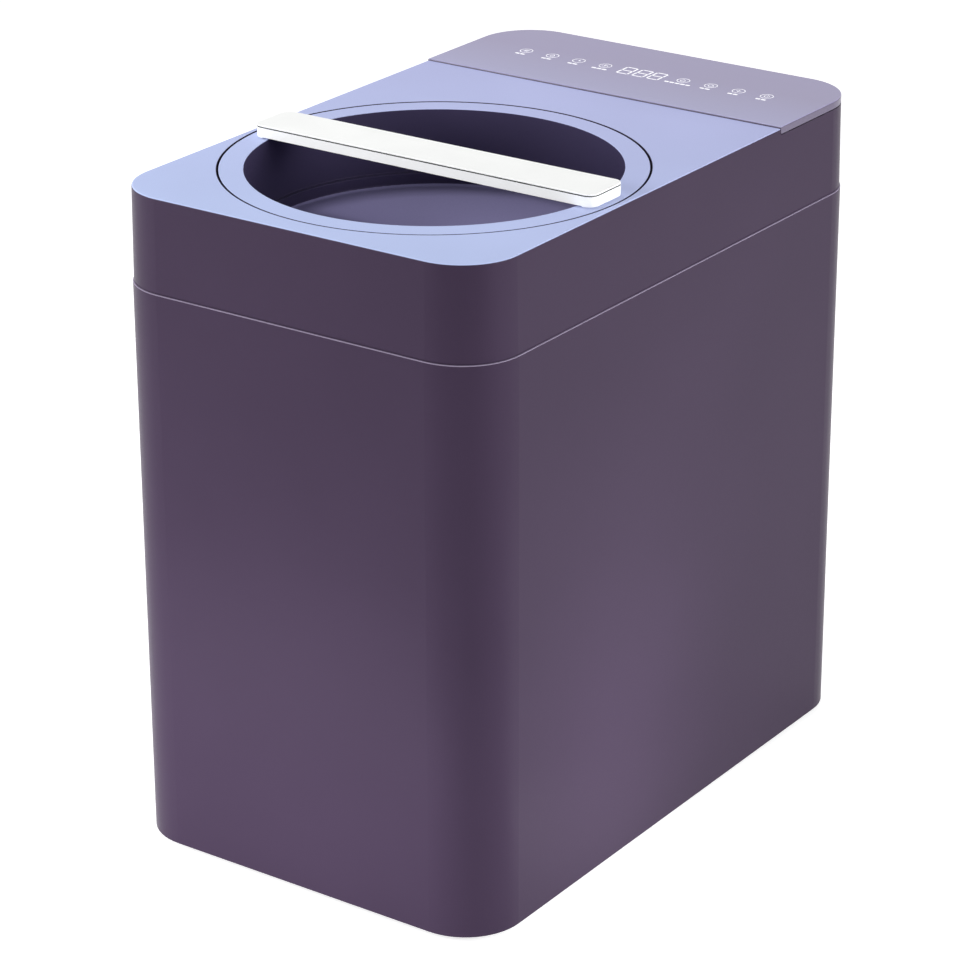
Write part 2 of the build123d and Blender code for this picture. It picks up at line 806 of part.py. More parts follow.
with BuildPart() as bucket:
    with BuildSketch(axis_section):
        section(
            [
                (0, bucket_floor_z),
                (floor_inner_radius, bucket_floor_z),
                (bucket_inner, bucket_rim_z),
                (bucket_rim_radius, bucket_rim_z),
                (bucket_rim_radius, bucket_rim_z - bucket_flange_thickness),
                (bucket_outer, bucket_rim_z - bucket_flange_thickness),
                (floor_inner_radius + bucket_wall, heater_top_z),
                (0, heater_top_z),
            ],
            [bucket_corner, bucket_mouth_round, 0, 0, 0, bucket_corner + bucket_floor],
        )
    spin()
    with BuildSketch(at_axis(heater_top_z)):
        Circle(bush_radius + running_clearance)
    extrude(amount=bucket_floor, mode=Mode.SUBTRACT)
    # vent holes at the back, above the fill level
    for step in range(vent_hole_count):
        angle = radians(90 + vent_hole_step * (step - (vent_hole_count - 1) / 2))
        with BuildSketch(Plane((0, lid_y, vent_z), x_dir=(0, 0, 1), z_dir=(cos(angle), sin(angle), 0))):
            Circle(vent_hole_radius)
        extrude(amount=ledge_radius, mode=Mode.SUBTRACT)
save(bucket, "bucket")

bush_under_z = heater_top_z - coupler_gap + dog_end_gap
bush_top_z = bucket_floor_z + bush_flange
bush_bore = agitator_shaft_radius + running_clearance

with BuildPart() as bucket_bush:
    with BuildSketch(axis_section):
        ring(bush_bore, bush_radius, bush_under_z, bush_top_z)
        ring(bush_bore, bush_flange_radius, bucket_floor_z, bush_top_z)
    spin()
save(bucket_bush, "bucket_bush")

with BuildPart() as shaft_seal:
    with BuildSketch(axis_section):
        ring(bush_bore, bush_radius, bush_top_z, bush_top_z + shaft_seal_height)
    spin()
save(shaft_seal, "shaft_seal")

# ================================================================ agitator and dog clutch
hub_z = bush_top_z + shaft_seal_height + hub_gap
agitator_radius = floor_inner_radius - agitator_wall_gap
coupler_top_z = heater_top_z - coupler_gap
coupler_z = coupler_top_z - coupler_disc
dog_disc_top_z = coupler_z - dog_lug - dog_end_gap
shaft_top_z = hub_z + shaft_in_hub


def lugs(first_angle):
    """Ring of dog lugs, as sectors of the clutch's face."""
    for index in range(dog_lug_count):
        start = first_angle + 360 / dog_lug_count * index - dog_lug_angle / 2
        with BuildLine() as sector:
            outer = CenterArc((0, 0), dog_radius, start, dog_lug_angle)
            inner = CenterArc((0, 0), dog_lug_inner, start, dog_lug_angle)
            Line(outer @ 0, inner @ 0)
            Line(outer @ 1, inner @ 1)
        make_face(sector.edges())


with BuildPart() as drive_coupler:
    with BuildSketch(at_axis(coupler_z)):
        Circle(dog_radius)
    extrude(amount=coupler_disc)
    with BuildSketch(at_axis(dog_disc_top_z + dog_end_gap)):
        lugs(180 / dog_lug_count)
    extrude(amount=dog_lug)
    with BuildSketch(at_axis(coupler_z)):
        Circle(agitator_shaft_radius + running_clearance)
    extrude(amount=coupler_disc, mode=Mode.SUBTRACT)
save(drive_coupler, "drive_coupler")

with BuildPart() as agitator_shaft:
    with BuildSketch(at_axis(coupler_z)):
        Circle(agitator_shaft_radius)
    extrude(amount=shaft_top_z - coupler_z)
    chamfer(agitator_shaft.edges().group_by(Axis.Z)[-1], shaft_chamfer)
save(agitator_shaft, "agitator_shaft")

scraper_line = RadiusArc((hub_radius / 2, 0), (agitator_radius - bucket_corner, 0), scraper_sweep)

with BuildPart() as agitator:
    with BuildSketch(axis_section):
        section(
            [
                (0, hub_z),
                (hub_radius, hub_z),
                (hub_radius, hub_z + scraper_height),
                (hub_top_radius, hub_z + hub_height),
                (0, hub_z + hub_height),
            ],
            [0, hub_blend, hub_top_radius * hub_dome],
        )
    spin()
    # two curved scrapers that sweep the bucket's floor
    with BuildSketch(at_axis(hub_z)):
        with PolarLocations(0, 2):
            SlotArc(scraper_line, scraper_thickness)
    extrude(amount=scraper_height)
    # arms with tilted paddles, one above the other
    for index, height in enumerate(arm_heights):
        for side in (0, 180):
            turn = arm_step * index + side + arm_first
            arm = Plane(at_axis(hub_z + height).location * Location((0, 0, 0), (0, 0, turn)))
            with BuildSketch(Plane(arm.location * Location((0, 0, 0), (0, 90, 0)))):
                Circle(arm_radius)
            extrude(amount=agitator_radius - paddle_length / 2)
            paddle = Location((agitator_radius - paddle_length / 2, 0, 0), (90 - paddle_tilt, 0, 0))
            with BuildSketch(Plane(arm.location * paddle)):
                RectangleRounded(paddle_length, paddle_height, paddle_corner)
            extrude(amount=paddle_thickness / 2, both=True)
    with BuildSketch(at_axis(hub_z)):
        Circle(agitator_shaft_radius + running_clearance)
    extrude(amount=shaft_in_hub + dog_end_gap, mode=Mode.SUBTRACT)
save(agitator, "agitator")

# ================================================================ chassis, gear case and gears
first_centre = first_module * (pinion_teeth + wheel_teeth) / 2
second_centre = second_module * (idler_teeth + output_teeth) / 2
idler_y = lid_y + second_centre
motor_y = idler_y + first_centre
case_z = chassis_z - case_height
case_floor_z = case_z + case_floor
wheel_z = case_floor_z + stage_gap
idler_z = wheel_z + first_face
output_z = idler_z + stage_gap
bearing_outer = output_shaft_radius + running_clearance + bearing_width
bearing_bore = output_shaft_radius + running_clearance
seat_outer = bearing_outer + bearing_seat_wall
upper_seat_z = chassis_z - bearing_thickness
lower_seat_z = case_z - bearing_thickness + case_floor / 2
post_x = body_width / 2 - post_inset_x
front_post_y = lid_y - sqrt((felt_outer + front_post_room) ** 2 - post_x**2)
post_y = (front_post_y, filter_front_y - rear_post_gap)
post_places = [(x, y) for x in (-post_x, post_x) for y in post_y]


def tip_radius(teeth, module):
    """Outer radius of a gear."""
    return module * (teeth / 2 + 1)


def flange_spot(y, tip, angle):
    """Screw place on the case's flange, round the axis of one gear."""
    reach = tip + case_clearance + case_wall + case_flange / 2
    return (reach * cos(radians(angle)), y + reach * sin(radians(angle)))


case_screw_places = [
    flange_spot(lid_y, tip_radius(output_teeth, second_module), angle) for angle in case_front_spots
]
case_screw_places += [
    flange_spot(motor_y, tip_radius(pinion_teeth, first_module), angle) for angle in case_rear_spots
]


def gear(teeth, module, first_angle):
    """Spur gear outline with involute flanks; one tooth points along first_angle, in degrees."""
    pitch_radius = module * teeth / 2
    base_radius = pitch_radius * cos(pressure_angle)
    root_radius = pitch_radius - dedendum * module
    half_tooth = (pi * module / 2 - backlash) / (2 * pitch_radius)
    involute_at_pitch = tan(pressure_angle) - pressure_angle
    flank = []
    for radius in (root_radius, pitch_radius, pitch_radius + module):
        roll = acos(min(1, base_radius / radius))
        flank.append((radius, half_tooth + involute_at_pitch - (tan(roll) - roll)))
    points = []
    for tooth in range(teeth):
        middle = radians(first_angle) + 2 * pi * tooth / teeth
        points += [(radius * cos(middle - half), radius * sin(middle - half)) for radius, half in flank]
        points += [(radius * cos(middle + half), radius * sin(middle + half)) for radius, half in flank[::-1]]
    with BuildLine() as outline:
        Polyline(*points, close=True)
    make_face(outline.edges())


def case_outline(grow):
    """Outline that wraps the gears, a set distance outside their tips."""
    with Locations((0, lid_y)):
        Circle(tip_radius(output_teeth, second_module) + grow)
    with Locations((0, idler_y)):
        Circle(tip_radius(wheel_teeth, first_module) + grow)
    with Locations((0, motor_y)):
        Circle(tip_radius(pinion_teeth, first_module) + grow)
    make_hull()


with BuildPart() as chassis_plate:
    with BuildSketch(Plane.XY.offset(chassis_z)):
        body_outline(wall + chassis_gap)
        # cut-outs in the back corners for air and cables
        with Locations((0, body_depth / 2 - wall)):
            Rectangle(2 * drawer_half_width - chassis_notch, chassis_notch, mode=Mode.SUBTRACT)
    extrude(amount=chassis_thickness)
    with BuildSketch(at_axis(upper_seat_z - seat_step)):
        Circle(seat_outer)
    extrude(amount=bearing_thickness + seat_step)
    with BuildSketch(at_axis(upper_seat_z)):
        Circle(bearing_outer + running_clearance)
    extrude(amount=bearing_thickness + chassis_thickness, mode=Mode.SUBTRACT)
    with BuildSketch(at_axis(upper_seat_z - seat_step)):
        Circle(bearing_bore + fit_gap)
    extrude(amount=seat_step, mode=Mode.SUBTRACT)
    with BuildSketch(Plane.XY.offset(chassis_z)):
        with Locations(post_places):
            Circle(pilot_radius + fit_gap)
        with Locations(case_screw_places):
            Circle(pilot_radius + fit_gap)
        with Locations((0, idler_y)):
            Circle(idler_pin_radius + running_clearance)
    extrude(amount=chassis_thickness, mode=Mode.SUBTRACT)
save(chassis_plate, "chassis_plate")

with BuildPart() as chassis_posts:
    with BuildSketch(Plane.XY.offset(base_top_z)):
        with Locations(post_places):
            Circle(post_radius)
    extrude(amount=chassis_z - base_top_z)
    with BuildSketch(Plane.XY.offset(chassis_z - screw_length)):
        with Locations(post_places):
            Circle(pilot_radius)
    extrude(amount=screw_length, mode=Mode.SUBTRACT)
save(chassis_posts, "chassis_posts")

with BuildPart() as chassis_screws:
    for x, y in post_places:
        with Locations((x, y, chassis_top_z)):
            screw(screw_head_radius, screw_head_height, pilot_radius - running_clearance, screw_length)
save(chassis_screws, "chassis_screws")

with BuildPart() as gear_case:
    with BuildSketch(Plane.XY.offset(case_z)):
        case_outline(case_clearance + case_wall)
    extrude(amount=case_height)
    with BuildSketch(Plane.XY.offset(chassis_z - case_wall)):
        case_outline(case_clearance + case_wall + case_flange)
    extrude(amount=case_wall)
    with BuildSketch(Plane.XY.offset(case_floor_z)):
        case_outline(case_clearance)
    extrude(amount=case_height, mode=Mode.SUBTRACT)
    with BuildSketch(at_axis(lower_seat_z - seat_step)):
        Circle(seat_outer)
    extrude(amount=case_z - lower_seat_z + seat_step)
    with BuildSketch(at_axis(lower_seat_z)):
        Circle(bearing_outer + running_clearance)
    extrude(amount=case_height, mode=Mode.SUBTRACT)
    with BuildSketch(Plane.XY.offset(case_z)):
        with Locations((0, motor_y)):
            Circle(motor_pilot_radius + fit_gap)
    extrude(amount=case_floor, mode=Mode.SUBTRACT)
    with BuildSketch(Plane.XY.offset(case_floor_z - pin_seat)):
        with Locations((0, idler_y)):
            Circle(idler_pin_radius + running_clearance)
    extrude(amount=pin_seat, mode=Mode.SUBTRACT)
    with BuildSketch(Plane.XY.offset(chassis_z - case_wall)):
        with Locations(case_screw_places):
            Circle(pilot_radius)
    extrude(amount=case_wall, mode=Mode.SUBTRACT)
save(gear_case, "gear_case")

with BuildPart() as gear_case_screws:
    for x, y in case_screw_places:
        with Locations(Location((x, y, chassis_z - case_wall), (180, 0, 0))):
            screw(screw_head_radius, screw_head_height, pilot_radius - running_clearance, case_screw_length)
save(gear_case_screws, "gear_case_screws")

with BuildPart() as output_bearings:
    for low in (lower_seat_z, upper_seat_z):
        with BuildSketch(at_axis(low)):
            Circle(bearing_outer)
            Circle(bearing_bore, mode=Mode.SUBTRACT)
        extrude(amount=bearing_thickness)
save(output_bearings, "output_bearings")

with BuildPart() as output_shaft:
    with BuildSketch(at_axis(lower_seat_z)):
        Circle(output_shaft_radius)
    extrude(amount=dog_disc_top_z - lower_seat_z)
    chamfer(output_shaft.edges().group_by(Axis.Z)[0], shaft_chamfer)
save(output_shaft, "output_shaft")

with BuildPart() as output_gear:
    with BuildSketch(at_axis(output_z)):
        gear(output_teeth, second_module, 90)
    extrude(amount=second_face)
    # web thinned from both faces, with lightening holes
    for low in (output_z, output_z + second_face - web_recess):
        with BuildSketch(at_axis(low)):
            Circle(second_module * output_teeth / 2 - rim_thickness)
            Circle(output_hub_radius, mode=Mode.SUBTRACT)
        extrude(amount=web_recess, mode=Mode.SUBTRACT)
    with BuildSketch(at_axis(output_z)):
        with PolarLocations(web_hole_ring, web_hole_count):
            Circle(web_hole_radius)
    extrude(amount=second_face, mode=Mode.SUBTRACT)
    with BuildSketch(at_axis(case_floor_z + stage_gap)):
        Circle(output_hub_radius)
    extrude(amount=output_z - case_floor_z - stage_gap)
    with BuildSketch(at_axis(case_floor_z + stage_gap)):
        Circle(output_shaft_radius + running_clearance)
    extrude(amount=case_height, mode=Mode.SUBTRACT)
save(output_gear, "output_gear")

with BuildPart() as drive_dog:
    with BuildSketch(at_axis(dog_disc_top_z - dog_disc)):
        Circle(dog_radius)
    extrude(amount=dog_disc)
    with BuildSketch(at_axis(dog_disc_top_z)):
        lugs(0)
    extrude(amount=dog_lug)
    with BuildSketch(at_axis(dog_disc_top_z - dog_disc)):
        Circle(output_shaft_radius + running_clearance)
    extrude(amount=dog_disc, mode=Mode.SUBTRACT)
save(drive_dog, "drive_dog")

with BuildPart() as idler_gear:
    with BuildSketch(Plane((0, idler_y, wheel_z))):
        gear(wheel_teeth, first_module, 90)
    extrude(amount=first_face)
    with BuildSketch(Plane((0, idler_y, idler_z))):
        gear(idler_teeth, second_module, 270 + 180 / idler_teeth)
    extrude(amount=stage_gap + second_face + face_margin)
    with BuildSketch(Plane((0, idler_y, wheel_z))):
        with PolarLocations(wheel_hole_ring, wheel_hole_count):
            Circle(wheel_hole_radius)
    extrude(amount=first_face, mode=Mode.SUBTRACT)
    with BuildSketch(Plane((0, idler_y, wheel_z))):
        Circle(idler_pin_radius + running_clearance)
    extrude(amount=case_height, mode=Mode.SUBTRACT)
save(idler_gear, "idler_gear")

with BuildPart() as idler_pin:
    with BuildSketch(Plane((0, idler_y, case_floor_z - pin_seat))):
        Circle(idler_pin_radius)
    extrude(amount=chassis_top_z - case_floor_z + pin_seat)
    with BuildSketch(Plane((0, idler_y, case_floor_z))):
        Circle(idler_pin_radius + pin_shoulder)
        Circle(idler_pin_radius, mode=Mode.SUBTRACT)
    extrude(amount=stage_gap - running_clearance)
save(idler_pin, "idler_pin")

pinion_z = wheel_z - face_margin
motor_bore_z = case_z - gearhead_length

with BuildPart() as motor_pinion:
    with BuildSketch(Plane((0, motor_y, pinion_z))):
        gear(pinion_teeth, first_module, 270 + 180 / pinion_teeth)
    extrude(amount=first_face + 2 * face_margin)
    with BuildSketch(Plane((0, motor_y, pinion_z))):
        Circle(motor_shaft_radius + running_clearance)
    extrude(amount=case_height, mode=Mode.SUBTRACT)
save(motor_pinion, "motor_pinion")

with BuildPart() as motor_shaft:
    with BuildSketch(Plane((0, motor_y, motor_bore_z + dog_end_gap))):
        Circle(motor_shaft_radius)
    extrude(amount=pinion_z + first_face + 2 * face_margin - motor_bore_z)
save(motor_shaft, "motor_shaft")

with BuildPart() as gear_motor:
    with BuildSketch(Plane((0, motor_y, motor_bore_z))):
        Circle(gearhead_radius)
    extrude(amount=gearhead_length)
    with BuildSketch(Plane((0, motor_y, case_z))):
        Circle(motor_pilot_radius)
    extrude(amount=case_floor / 2)
    with BuildSketch(Plane((0, motor_y, motor_bore_z - motor_length))):
        Circle(motor_radius)
    extrude(amount=motor_length)
    fillet(gear_motor.edges().group_by(Axis.Z)[0], motor_round)
    with BuildSketch(Plane((0, motor_y, motor_bore_z))):
        Circle(motor_shaft_radius + running_clearance)
    extrude(amount=gearhead_length + case_floor, mode=Mode.SUBTRACT)
save(gear_motor, "gear_motor")

# ================================================================ filter drawer
filter_case_z = chassis_top_z
filter_case_height = drawer_height + 2 * (filter_case_wall + drawer_clearance)
filter_case_width = 2 * (drawer_half_width + drawer_clearance + filter_case_wall)
outlet_y = fan_y + impeller_radius + volute_gap - outlet_width / 2 + volute_wall
outlet_inner = outlet_width - 2 * volute_wall
fan_z = filter_case_z + filter_case_height + impeller_radius + volute_gap + volute_wall + volute_stand
tray_low_z = drawer_z + tray_lift
tray_front_y = filter_front_y + filter_case_wall + drawer_clearance

with BuildPart() as filter_case:
    with BuildSketch(Plane.XY.offset(filter_case_z)):
        with Locations((0, filter_front_y)):
            Rectangle(filter_case_width, filter_length - fit_gap, align=(Align.CENTER, Align.MIN))
    extrude(amount=filter_case_height)
    with BuildSketch(Plane.XY.offset(filter_case_z + filter_case_wall)):
        with Locations((0, filter_front_y + filter_case_wall)):
            Rectangle(
                filter_case_width - 2 * filter_case_wall, filter_length, align=(Align.CENTER, Align.MIN)
            )
    extrude(amount=filter_case_height - 2 * filter_case_wall, mode=Mode.SUBTRACT)
    # inlet under the fan's outlet
    with BuildSketch(Plane.XY.offset(filter_case_z + filter_case_height - filter_case_wall)):
        with Locations((0, outlet_y)):
            Rectangle(volute_width - 2 * volute_wall, outlet_inner)
    extrude(amount=filter_case_wall, mode=Mode.SUBTRACT)
save(filter_case, "filter_case")

cover_y = body_depth / 2 - cover_thickness
pull_z = drawer_z + drawer_height - pull_height / 2 - pull_drop
louvre_mid_z = drawer_z + louvre_low + louvre_pitch * (louvre_count - 1) / 2
front_of_cover = Plane((0, cover_y, 0), x_dir=(-1, 0, 0), z_dir=(0, 1, 0))

with BuildPart() as filter_cover:
    with BuildSketch(front_of_cover):
        with Locations((0, drawer_mid_z)):
            RectangleRounded(2 * drawer_half_width, drawer_height, drawer_corner - drawer_gap)
    extrude(amount=cover_thickness)
    # pocket behind the finger pull
    with BuildSketch(front_of_cover):
        with Locations((0, pull_z)):
            RectangleRounded(pull_width + 2 * pull_wall, pull_height + 2 * pull_wall, pull_corner + pull_wall)
    extrude(amount=-(pull_depth - cover_thickness + pull_wall))
    with BuildSketch(rear_plane):
        with Locations((0, pull_z)):
            RectangleRounded(pull_width, pull_height, pull_corner)
    extrude(amount=-pull_depth, mode=Mode.SUBTRACT)
    with BuildSketch(front_of_cover):
        with Locations((0, louvre_mid_z)):
            with GridLocations(1, louvre_pitch, 1, louvre_count):
                SlotOverall(louvre_length, louvre_height)
    extrude(amount=cover_thickness, mode=Mode.SUBTRACT)
save(filter_cover, "filter_cover")

with BuildPart() as filter_tray:
    with BuildSketch(Plane.XY.offset(tray_low_z)):
        with Locations((0, tray_front_y)):
            Rectangle(tray_width, cover_y - tray_front_y, align=(Align.CENTER, Align.MIN))
    extrude(amount=tray_height)
    with BuildSketch(Plane.XY.offset(tray_low_z + tray_wall)):
        with Locations((0, tray_front_y + tray_wall)):
            Rectangle(
                tray_width - 2 * tray_wall, cover_y - tray_front_y - tray_wall, align=(Align.CENTER, Align.MIN)
            )
    extrude(amount=tray_height, mode=Mode.SUBTRACT)
save(filter_tray, "filter_tray")

cartridge_low_z = tray_low_z + tray_wall
cartridge_front_y = tray_front_y + tray_wall + cartridge_gap
cartridge_width = tray_width - 2 * (tray_wall + cartridge_gap)
cartridge_depth = cover_y - tray_front_y - tray_wall - 2 * cartridge_gap - pull_depth
cartridge_middle = (0, cartridge_front_y + cartridge_depth / 2)
cartridge_face = Plane((0, cartridge_front_y, cartridge_low_z), x_dir=(-1, 0, 0), z_dir=(0, 1, 0))
carbon_width = cartridge_width - 2 * (cartridge_wall + fit_gap)
carbon_depth = cartridge_depth - 2 * (cartridge_wall + fit_gap)

with BuildPart() as filter_cartridge:
    with BuildSketch(Plane.XY.offset(cartridge_low_z)):
        with Locations(cartridge_middle):
            RectangleRounded(cartridge_width, cartridge_depth, cartridge_corner)
    extrude(amount=cartridge_height)
    fillet(filter_cartridge.edges().group_by(Axis.Z)[-1], cartridge_round)
    with BuildSketch(Plane.XY.offset(cartridge_low_z + cartridge_wall)):
        with Locations(cartridge_middle):
            RectangleRounded(
                cartridge_width - 2 * cartridge_wall, cartridge_depth - 2 * cartridge_wall, cartridge_wall
            )
    extrude(amount=cartridge_height - 2 * cartridge_wall, mode=Mode.SUBTRACT)
    # air slots in the top, and through the front and back walls
    with BuildSketch(Plane.XY.offset(cartridge_low_z + cartridge_wall)):
        with Locations(cartridge_middle):
            with GridLocations(top_slot_pitch_x, top_slot_pitch_y, top_slot_columns, top_slot_rows):
                SlotOverall(top_slot_length, cartridge_slot)
    extrude(amount=cartridge_height, mode=Mode.SUBTRACT)
    with BuildSketch(cartridge_face):
        with Locations((0, (tray_height + cartridge_height) / 2)):
            with GridLocations(side_slot_pitch, 1, side_slot_count, 1):
                SlotOverall(side_slot_length, cartridge_slot, rotation=90)
    extrude(amount=cartridge_depth, mode=Mode.SUBTRACT)
save(filter_cartridge, "filter_cartridge")

with BuildPart() as carbon_filter:
    with BuildSketch(Plane.XY.offset(cartridge_low_z + cartridge_wall)):
        with Locations(cartridge_middle):
            RectangleRounded(carbon_width, carbon_depth, carbon_corner)
    extrude(amount=cartridge_height - 2 * cartridge_wall - fit_gap)
save(carbon_filter, "carbon_filter")

# ================================================================ fan and duct
def across_fan(x):
    """Plane square to the fan's shaft, at a place along it."""
    return Plane((x, fan_y, fan_z), x_dir=(0, 1, 0), z_dir=(1, 0, 0))


def volute(grow):
    """Section of the blower's scroll: its round chamber and the outlet below it."""
    Circle(impeller_radius + volute_gap + grow)
    with Locations((impeller_radius + volute_gap + volute_wall - outlet_width / 2, 0)):
        Rectangle(
            outlet_inner + 2 * grow,
            fan_z - filter_case_z - filter_case_height,
            align=(Align.CENTER, Align.MAX),
        )


with BuildPart() as blower_housing:
    with BuildSketch(across_fan(-volute_width / 2)):
        volute(volute_wall)
    extrude(amount=volute_width - volute_wall)
    with BuildSketch(across_fan(-volute_width / 2 + volute_wall)):
        volute(0)
    extrude(amount=volute_width, mode=Mode.SUBTRACT)
    with BuildSketch(across_fan(-volute_width / 2)):
        Circle(fan_shaft_radius + fit_gap)
    extrude(amount=volute_wall, mode=Mode.SUBTRACT)
save(blower_housing, "blower_housing")

with BuildPart() as blower_cover:
    with BuildSketch(across_fan(volute_width / 2 - volute_wall)):
        volute(volute_wall)
    extrude(amount=volute_wall)
    with BuildSketch(across_fan(volute_width / 2 - volute_wall)):
        Circle(duct_radius - duct_wall)
    extrude(amount=volute_wall, mode=Mode.SUBTRACT)
save(blower_cover, "blower_cover")

impeller_back = across_fan(-impeller_width / 2)

with BuildPart() as impeller:
    with BuildSketch(impeller_back):
        Circle(impeller_radius)
    extrude(amount=impeller_disc)
    with BuildSketch(impeller_back):
        Circle(impeller_hub)
    extrude(amount=impeller_width / 2)
    with BuildSketch(impeller_back):
        with PolarLocations((impeller_inner + impeller_radius) / 2, impeller_blades):
            Rectangle(impeller_radius - impeller_inner - fit_gap, blade_thickness, rotation=blade_angle)
    extrude(amount=impeller_width)
    with BuildSketch(impeller_back.offset(impeller_width - impeller_disc)):
        Circle(impeller_radius)
        Circle(impeller_inner, mode=Mode.SUBTRACT)
    extrude(amount=impeller_disc)
    with BuildSketch(impeller_back):
        Circle(fan_shaft_radius)
    extrude(amount=-(volute_width - impeller_width) / 2 - fan_motor_length / 2)
save(impeller, "impeller")

with BuildPart() as fan_motor:
    with BuildSketch(across_fan(-volute_width / 2 - fan_motor_length)):
        Circle(fan_motor_radius)
    extrude(amount=fan_motor_length)
    chamfer(fan_motor.edges().group_by(Axis.X)[0], fan_motor_chamfer)
    with BuildSketch(across_fan(-volute_width / 2 - fan_motor_length / 2 - fit_gap)):
        Circle(fan_shaft_radius + running_clearance)
    extrude(amount=fan_motor_length, mode=Mode.SUBTRACT)
save(fan_motor, "fan_motor")

duct_start = (volute_width / 2, fan_y, fan_z)

with BuildPart() as exhaust_duct:
    with BuildLine():
        FilletPolyline(
            duct_start,
            (duct_x, fan_y, fan_z),
            (duct_x, fan_y, duct_z),
            (duct_x, lid_y + liner_outer / 2, duct_z),
            radius=duct_bend,
        )
    with BuildSketch(Plane(duct_start, x_dir=(0, 1, 0), z_dir=(1, 0, 0))):
        Circle(duct_radius)
        Circle(duct_radius - duct_wall, mode=Mode.SUBTRACT)
    sweep()
    with BuildSketch(at_axis(duct_z - 2 * duct_radius)):
        Circle(liner_outer + fit_gap)
    extrude(amount=4 * duct_radius, mode=Mode.SUBTRACT)
save(exhaust_duct, "exhaust_duct")

# ================================================================ sensors and electrics
with BuildPart() as lid_sensor:
    with Locations(Location((0, lid_y, deck_z - deck_thickness), (0, 0, sensor_angle))):
        with Locations((opening_radius + seat_wall + sensor_gap, 0, 0)):
            Box(sensor_depth, sensor_width, sensor_height, align=(Align.MIN, Align.CENTER, Align.MAX))
save(lid_sensor, "lid_sensor")

with BuildPart() as temperature_sensor:
    with BuildSketch(at_axis(heater_z - probe_length)):
        with Locations((0, probe_offset)):
            Circle(probe_radius)
    extrude(amount=probe_length)
save(temperature_sensor, "temperature_sensor")

inlet_plane = Plane((inlet_x, body_depth / 2, inlet_z), x_dir=(-1, 0, 0), z_dir=(0, 1, 0))


def inlet_outline(inset):
    """Outline of the socket: a rectangle with its two upper corners cut off."""
    half_width = inlet_width / 2 - inset
    half_height = inlet_height / 2 - inset
    cut = inlet_corner_cut
    with BuildLine() as outline:
        Polyline(
            (-half_width, -half_height),
            (half_width, -half_height),
            (half_width, half_height - cut),
            (half_width - cut, half_height),
            (-half_width + cut, half_height),
            (-half_width, half_height - cut),
            close=True,
        )
    make_face(outline.edges())


with BuildPart() as power_inlet:
    with BuildSketch(inlet_plane):
        inlet_outline(0)
    extrude(amount=-inlet_depth)
    # flange inside the wall
    with BuildSketch(inlet_plane.offset(-wall)):
        Rectangle(inlet_width + 2 * inlet_flange, inlet_height + 2 * inlet_flange)
    extrude(amount=-inlet_flange / 2)
    with BuildSketch(inlet_plane):
        inlet_outline(inlet_wall)
    extrude(amount=-inlet_cavity, mode=Mode.SUBTRACT)
save(power_inlet, "power_inlet")

with BuildPart() as inlet_pins:
    with BuildSketch(inlet_plane.offset(-inlet_cavity + inlet_pin_length)):
        with Locations((-inlet_pin_pitch, -inlet_pin_drop), (inlet_pin_pitch, -inlet_pin_drop), (0, inlet_pin_drop)):
            Rectangle(inlet_pin_width, inlet_pin_height)
    extrude(amount=-inlet_pin_length)
save(inlet_pins, "inlet_pins")

power_board_z = base_top_z + standoff_height
power_board_x = (body_width - power_board_width) / 2 - power_board_inset_x
power_board_y = (body_depth - power_board_depth) / 2 - power_board_inset_y

with BuildPart() as board_standoffs:
    with BuildSketch(Plane.XY.offset(base_top_z)):
        with Locations((power_board_x, power_board_y)):
            with GridLocations(power_board_width - 2 * standoff_inset, power_board_depth - 2 * standoff_inset, 2, 2):
                Circle(standoff_radius)
    extrude(amount=standoff_height)
save(board_standoffs, "board_standoffs")

with BuildPart() as power_board:
    with BuildSketch(Plane.XY.offset(power_board_z)):
        with Locations((power_board_x, power_board_y)):
            RectangleRounded(power_board_width, power_board_depth, board_corner)
    extrude(amount=board_thickness)
    board_top_z = power_board_z + board_thickness
    with Locations((power_board_x - transformer_offset, power_board_y + transformer_offset, board_top_z)):
        Box(*transformer_size, align=(Align.CENTER, Align.CENTER, Align.MIN))
    with BuildSketch(Plane.XY.offset(board_top_z)):
        with Locations((power_board_x + capacitor_offset, power_board_y)):
            with GridLocations(1, capacitor_pitch, 1, capacitor_count):
                Circle(capacitor_radius)
    extrude(amount=capacitor_height)
    with Locations((power_board_x - transformer_offset, power_board_y - transformer_offset, board_top_z)):
        with GridLocations(relay_pitch, 1, relay_count, 1):
            Box(*relay_size, align=(Align.CENTER, Align.CENTER, Align.MIN))
save(power_board, "power_board")
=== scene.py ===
"""Dressing of the electric food waste composter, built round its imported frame.

Lengths are in metres, +Z is up, the front faces -Y and the touch panel lies along
the back edge of the deck. The round lid, its bucket and the drive share one upright
axis in front of the panel.
"""

import logging
import math
from abc import ABC, abstractmethod
from collections.abc import Iterable, Sequence
from dataclasses import dataclass, field
from enum import Enum

import bmesh
import bpy
from mathutils import Matrix, Vector


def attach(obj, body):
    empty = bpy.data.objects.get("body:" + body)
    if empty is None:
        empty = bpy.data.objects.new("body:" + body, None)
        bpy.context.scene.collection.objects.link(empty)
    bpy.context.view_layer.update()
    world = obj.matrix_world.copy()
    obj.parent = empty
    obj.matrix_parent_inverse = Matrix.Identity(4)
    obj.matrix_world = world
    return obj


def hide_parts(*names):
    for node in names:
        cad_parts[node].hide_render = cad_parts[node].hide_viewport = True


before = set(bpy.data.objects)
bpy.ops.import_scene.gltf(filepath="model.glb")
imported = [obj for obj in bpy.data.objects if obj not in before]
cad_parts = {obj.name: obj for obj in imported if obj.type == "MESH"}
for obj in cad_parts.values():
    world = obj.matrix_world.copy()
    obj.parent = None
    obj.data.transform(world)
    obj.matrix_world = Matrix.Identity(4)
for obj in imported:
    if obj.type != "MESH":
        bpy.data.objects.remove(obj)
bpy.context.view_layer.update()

logging.basicConfig(level=logging.INFO, format="%(message)s")
log = logging.getLogger("composter")

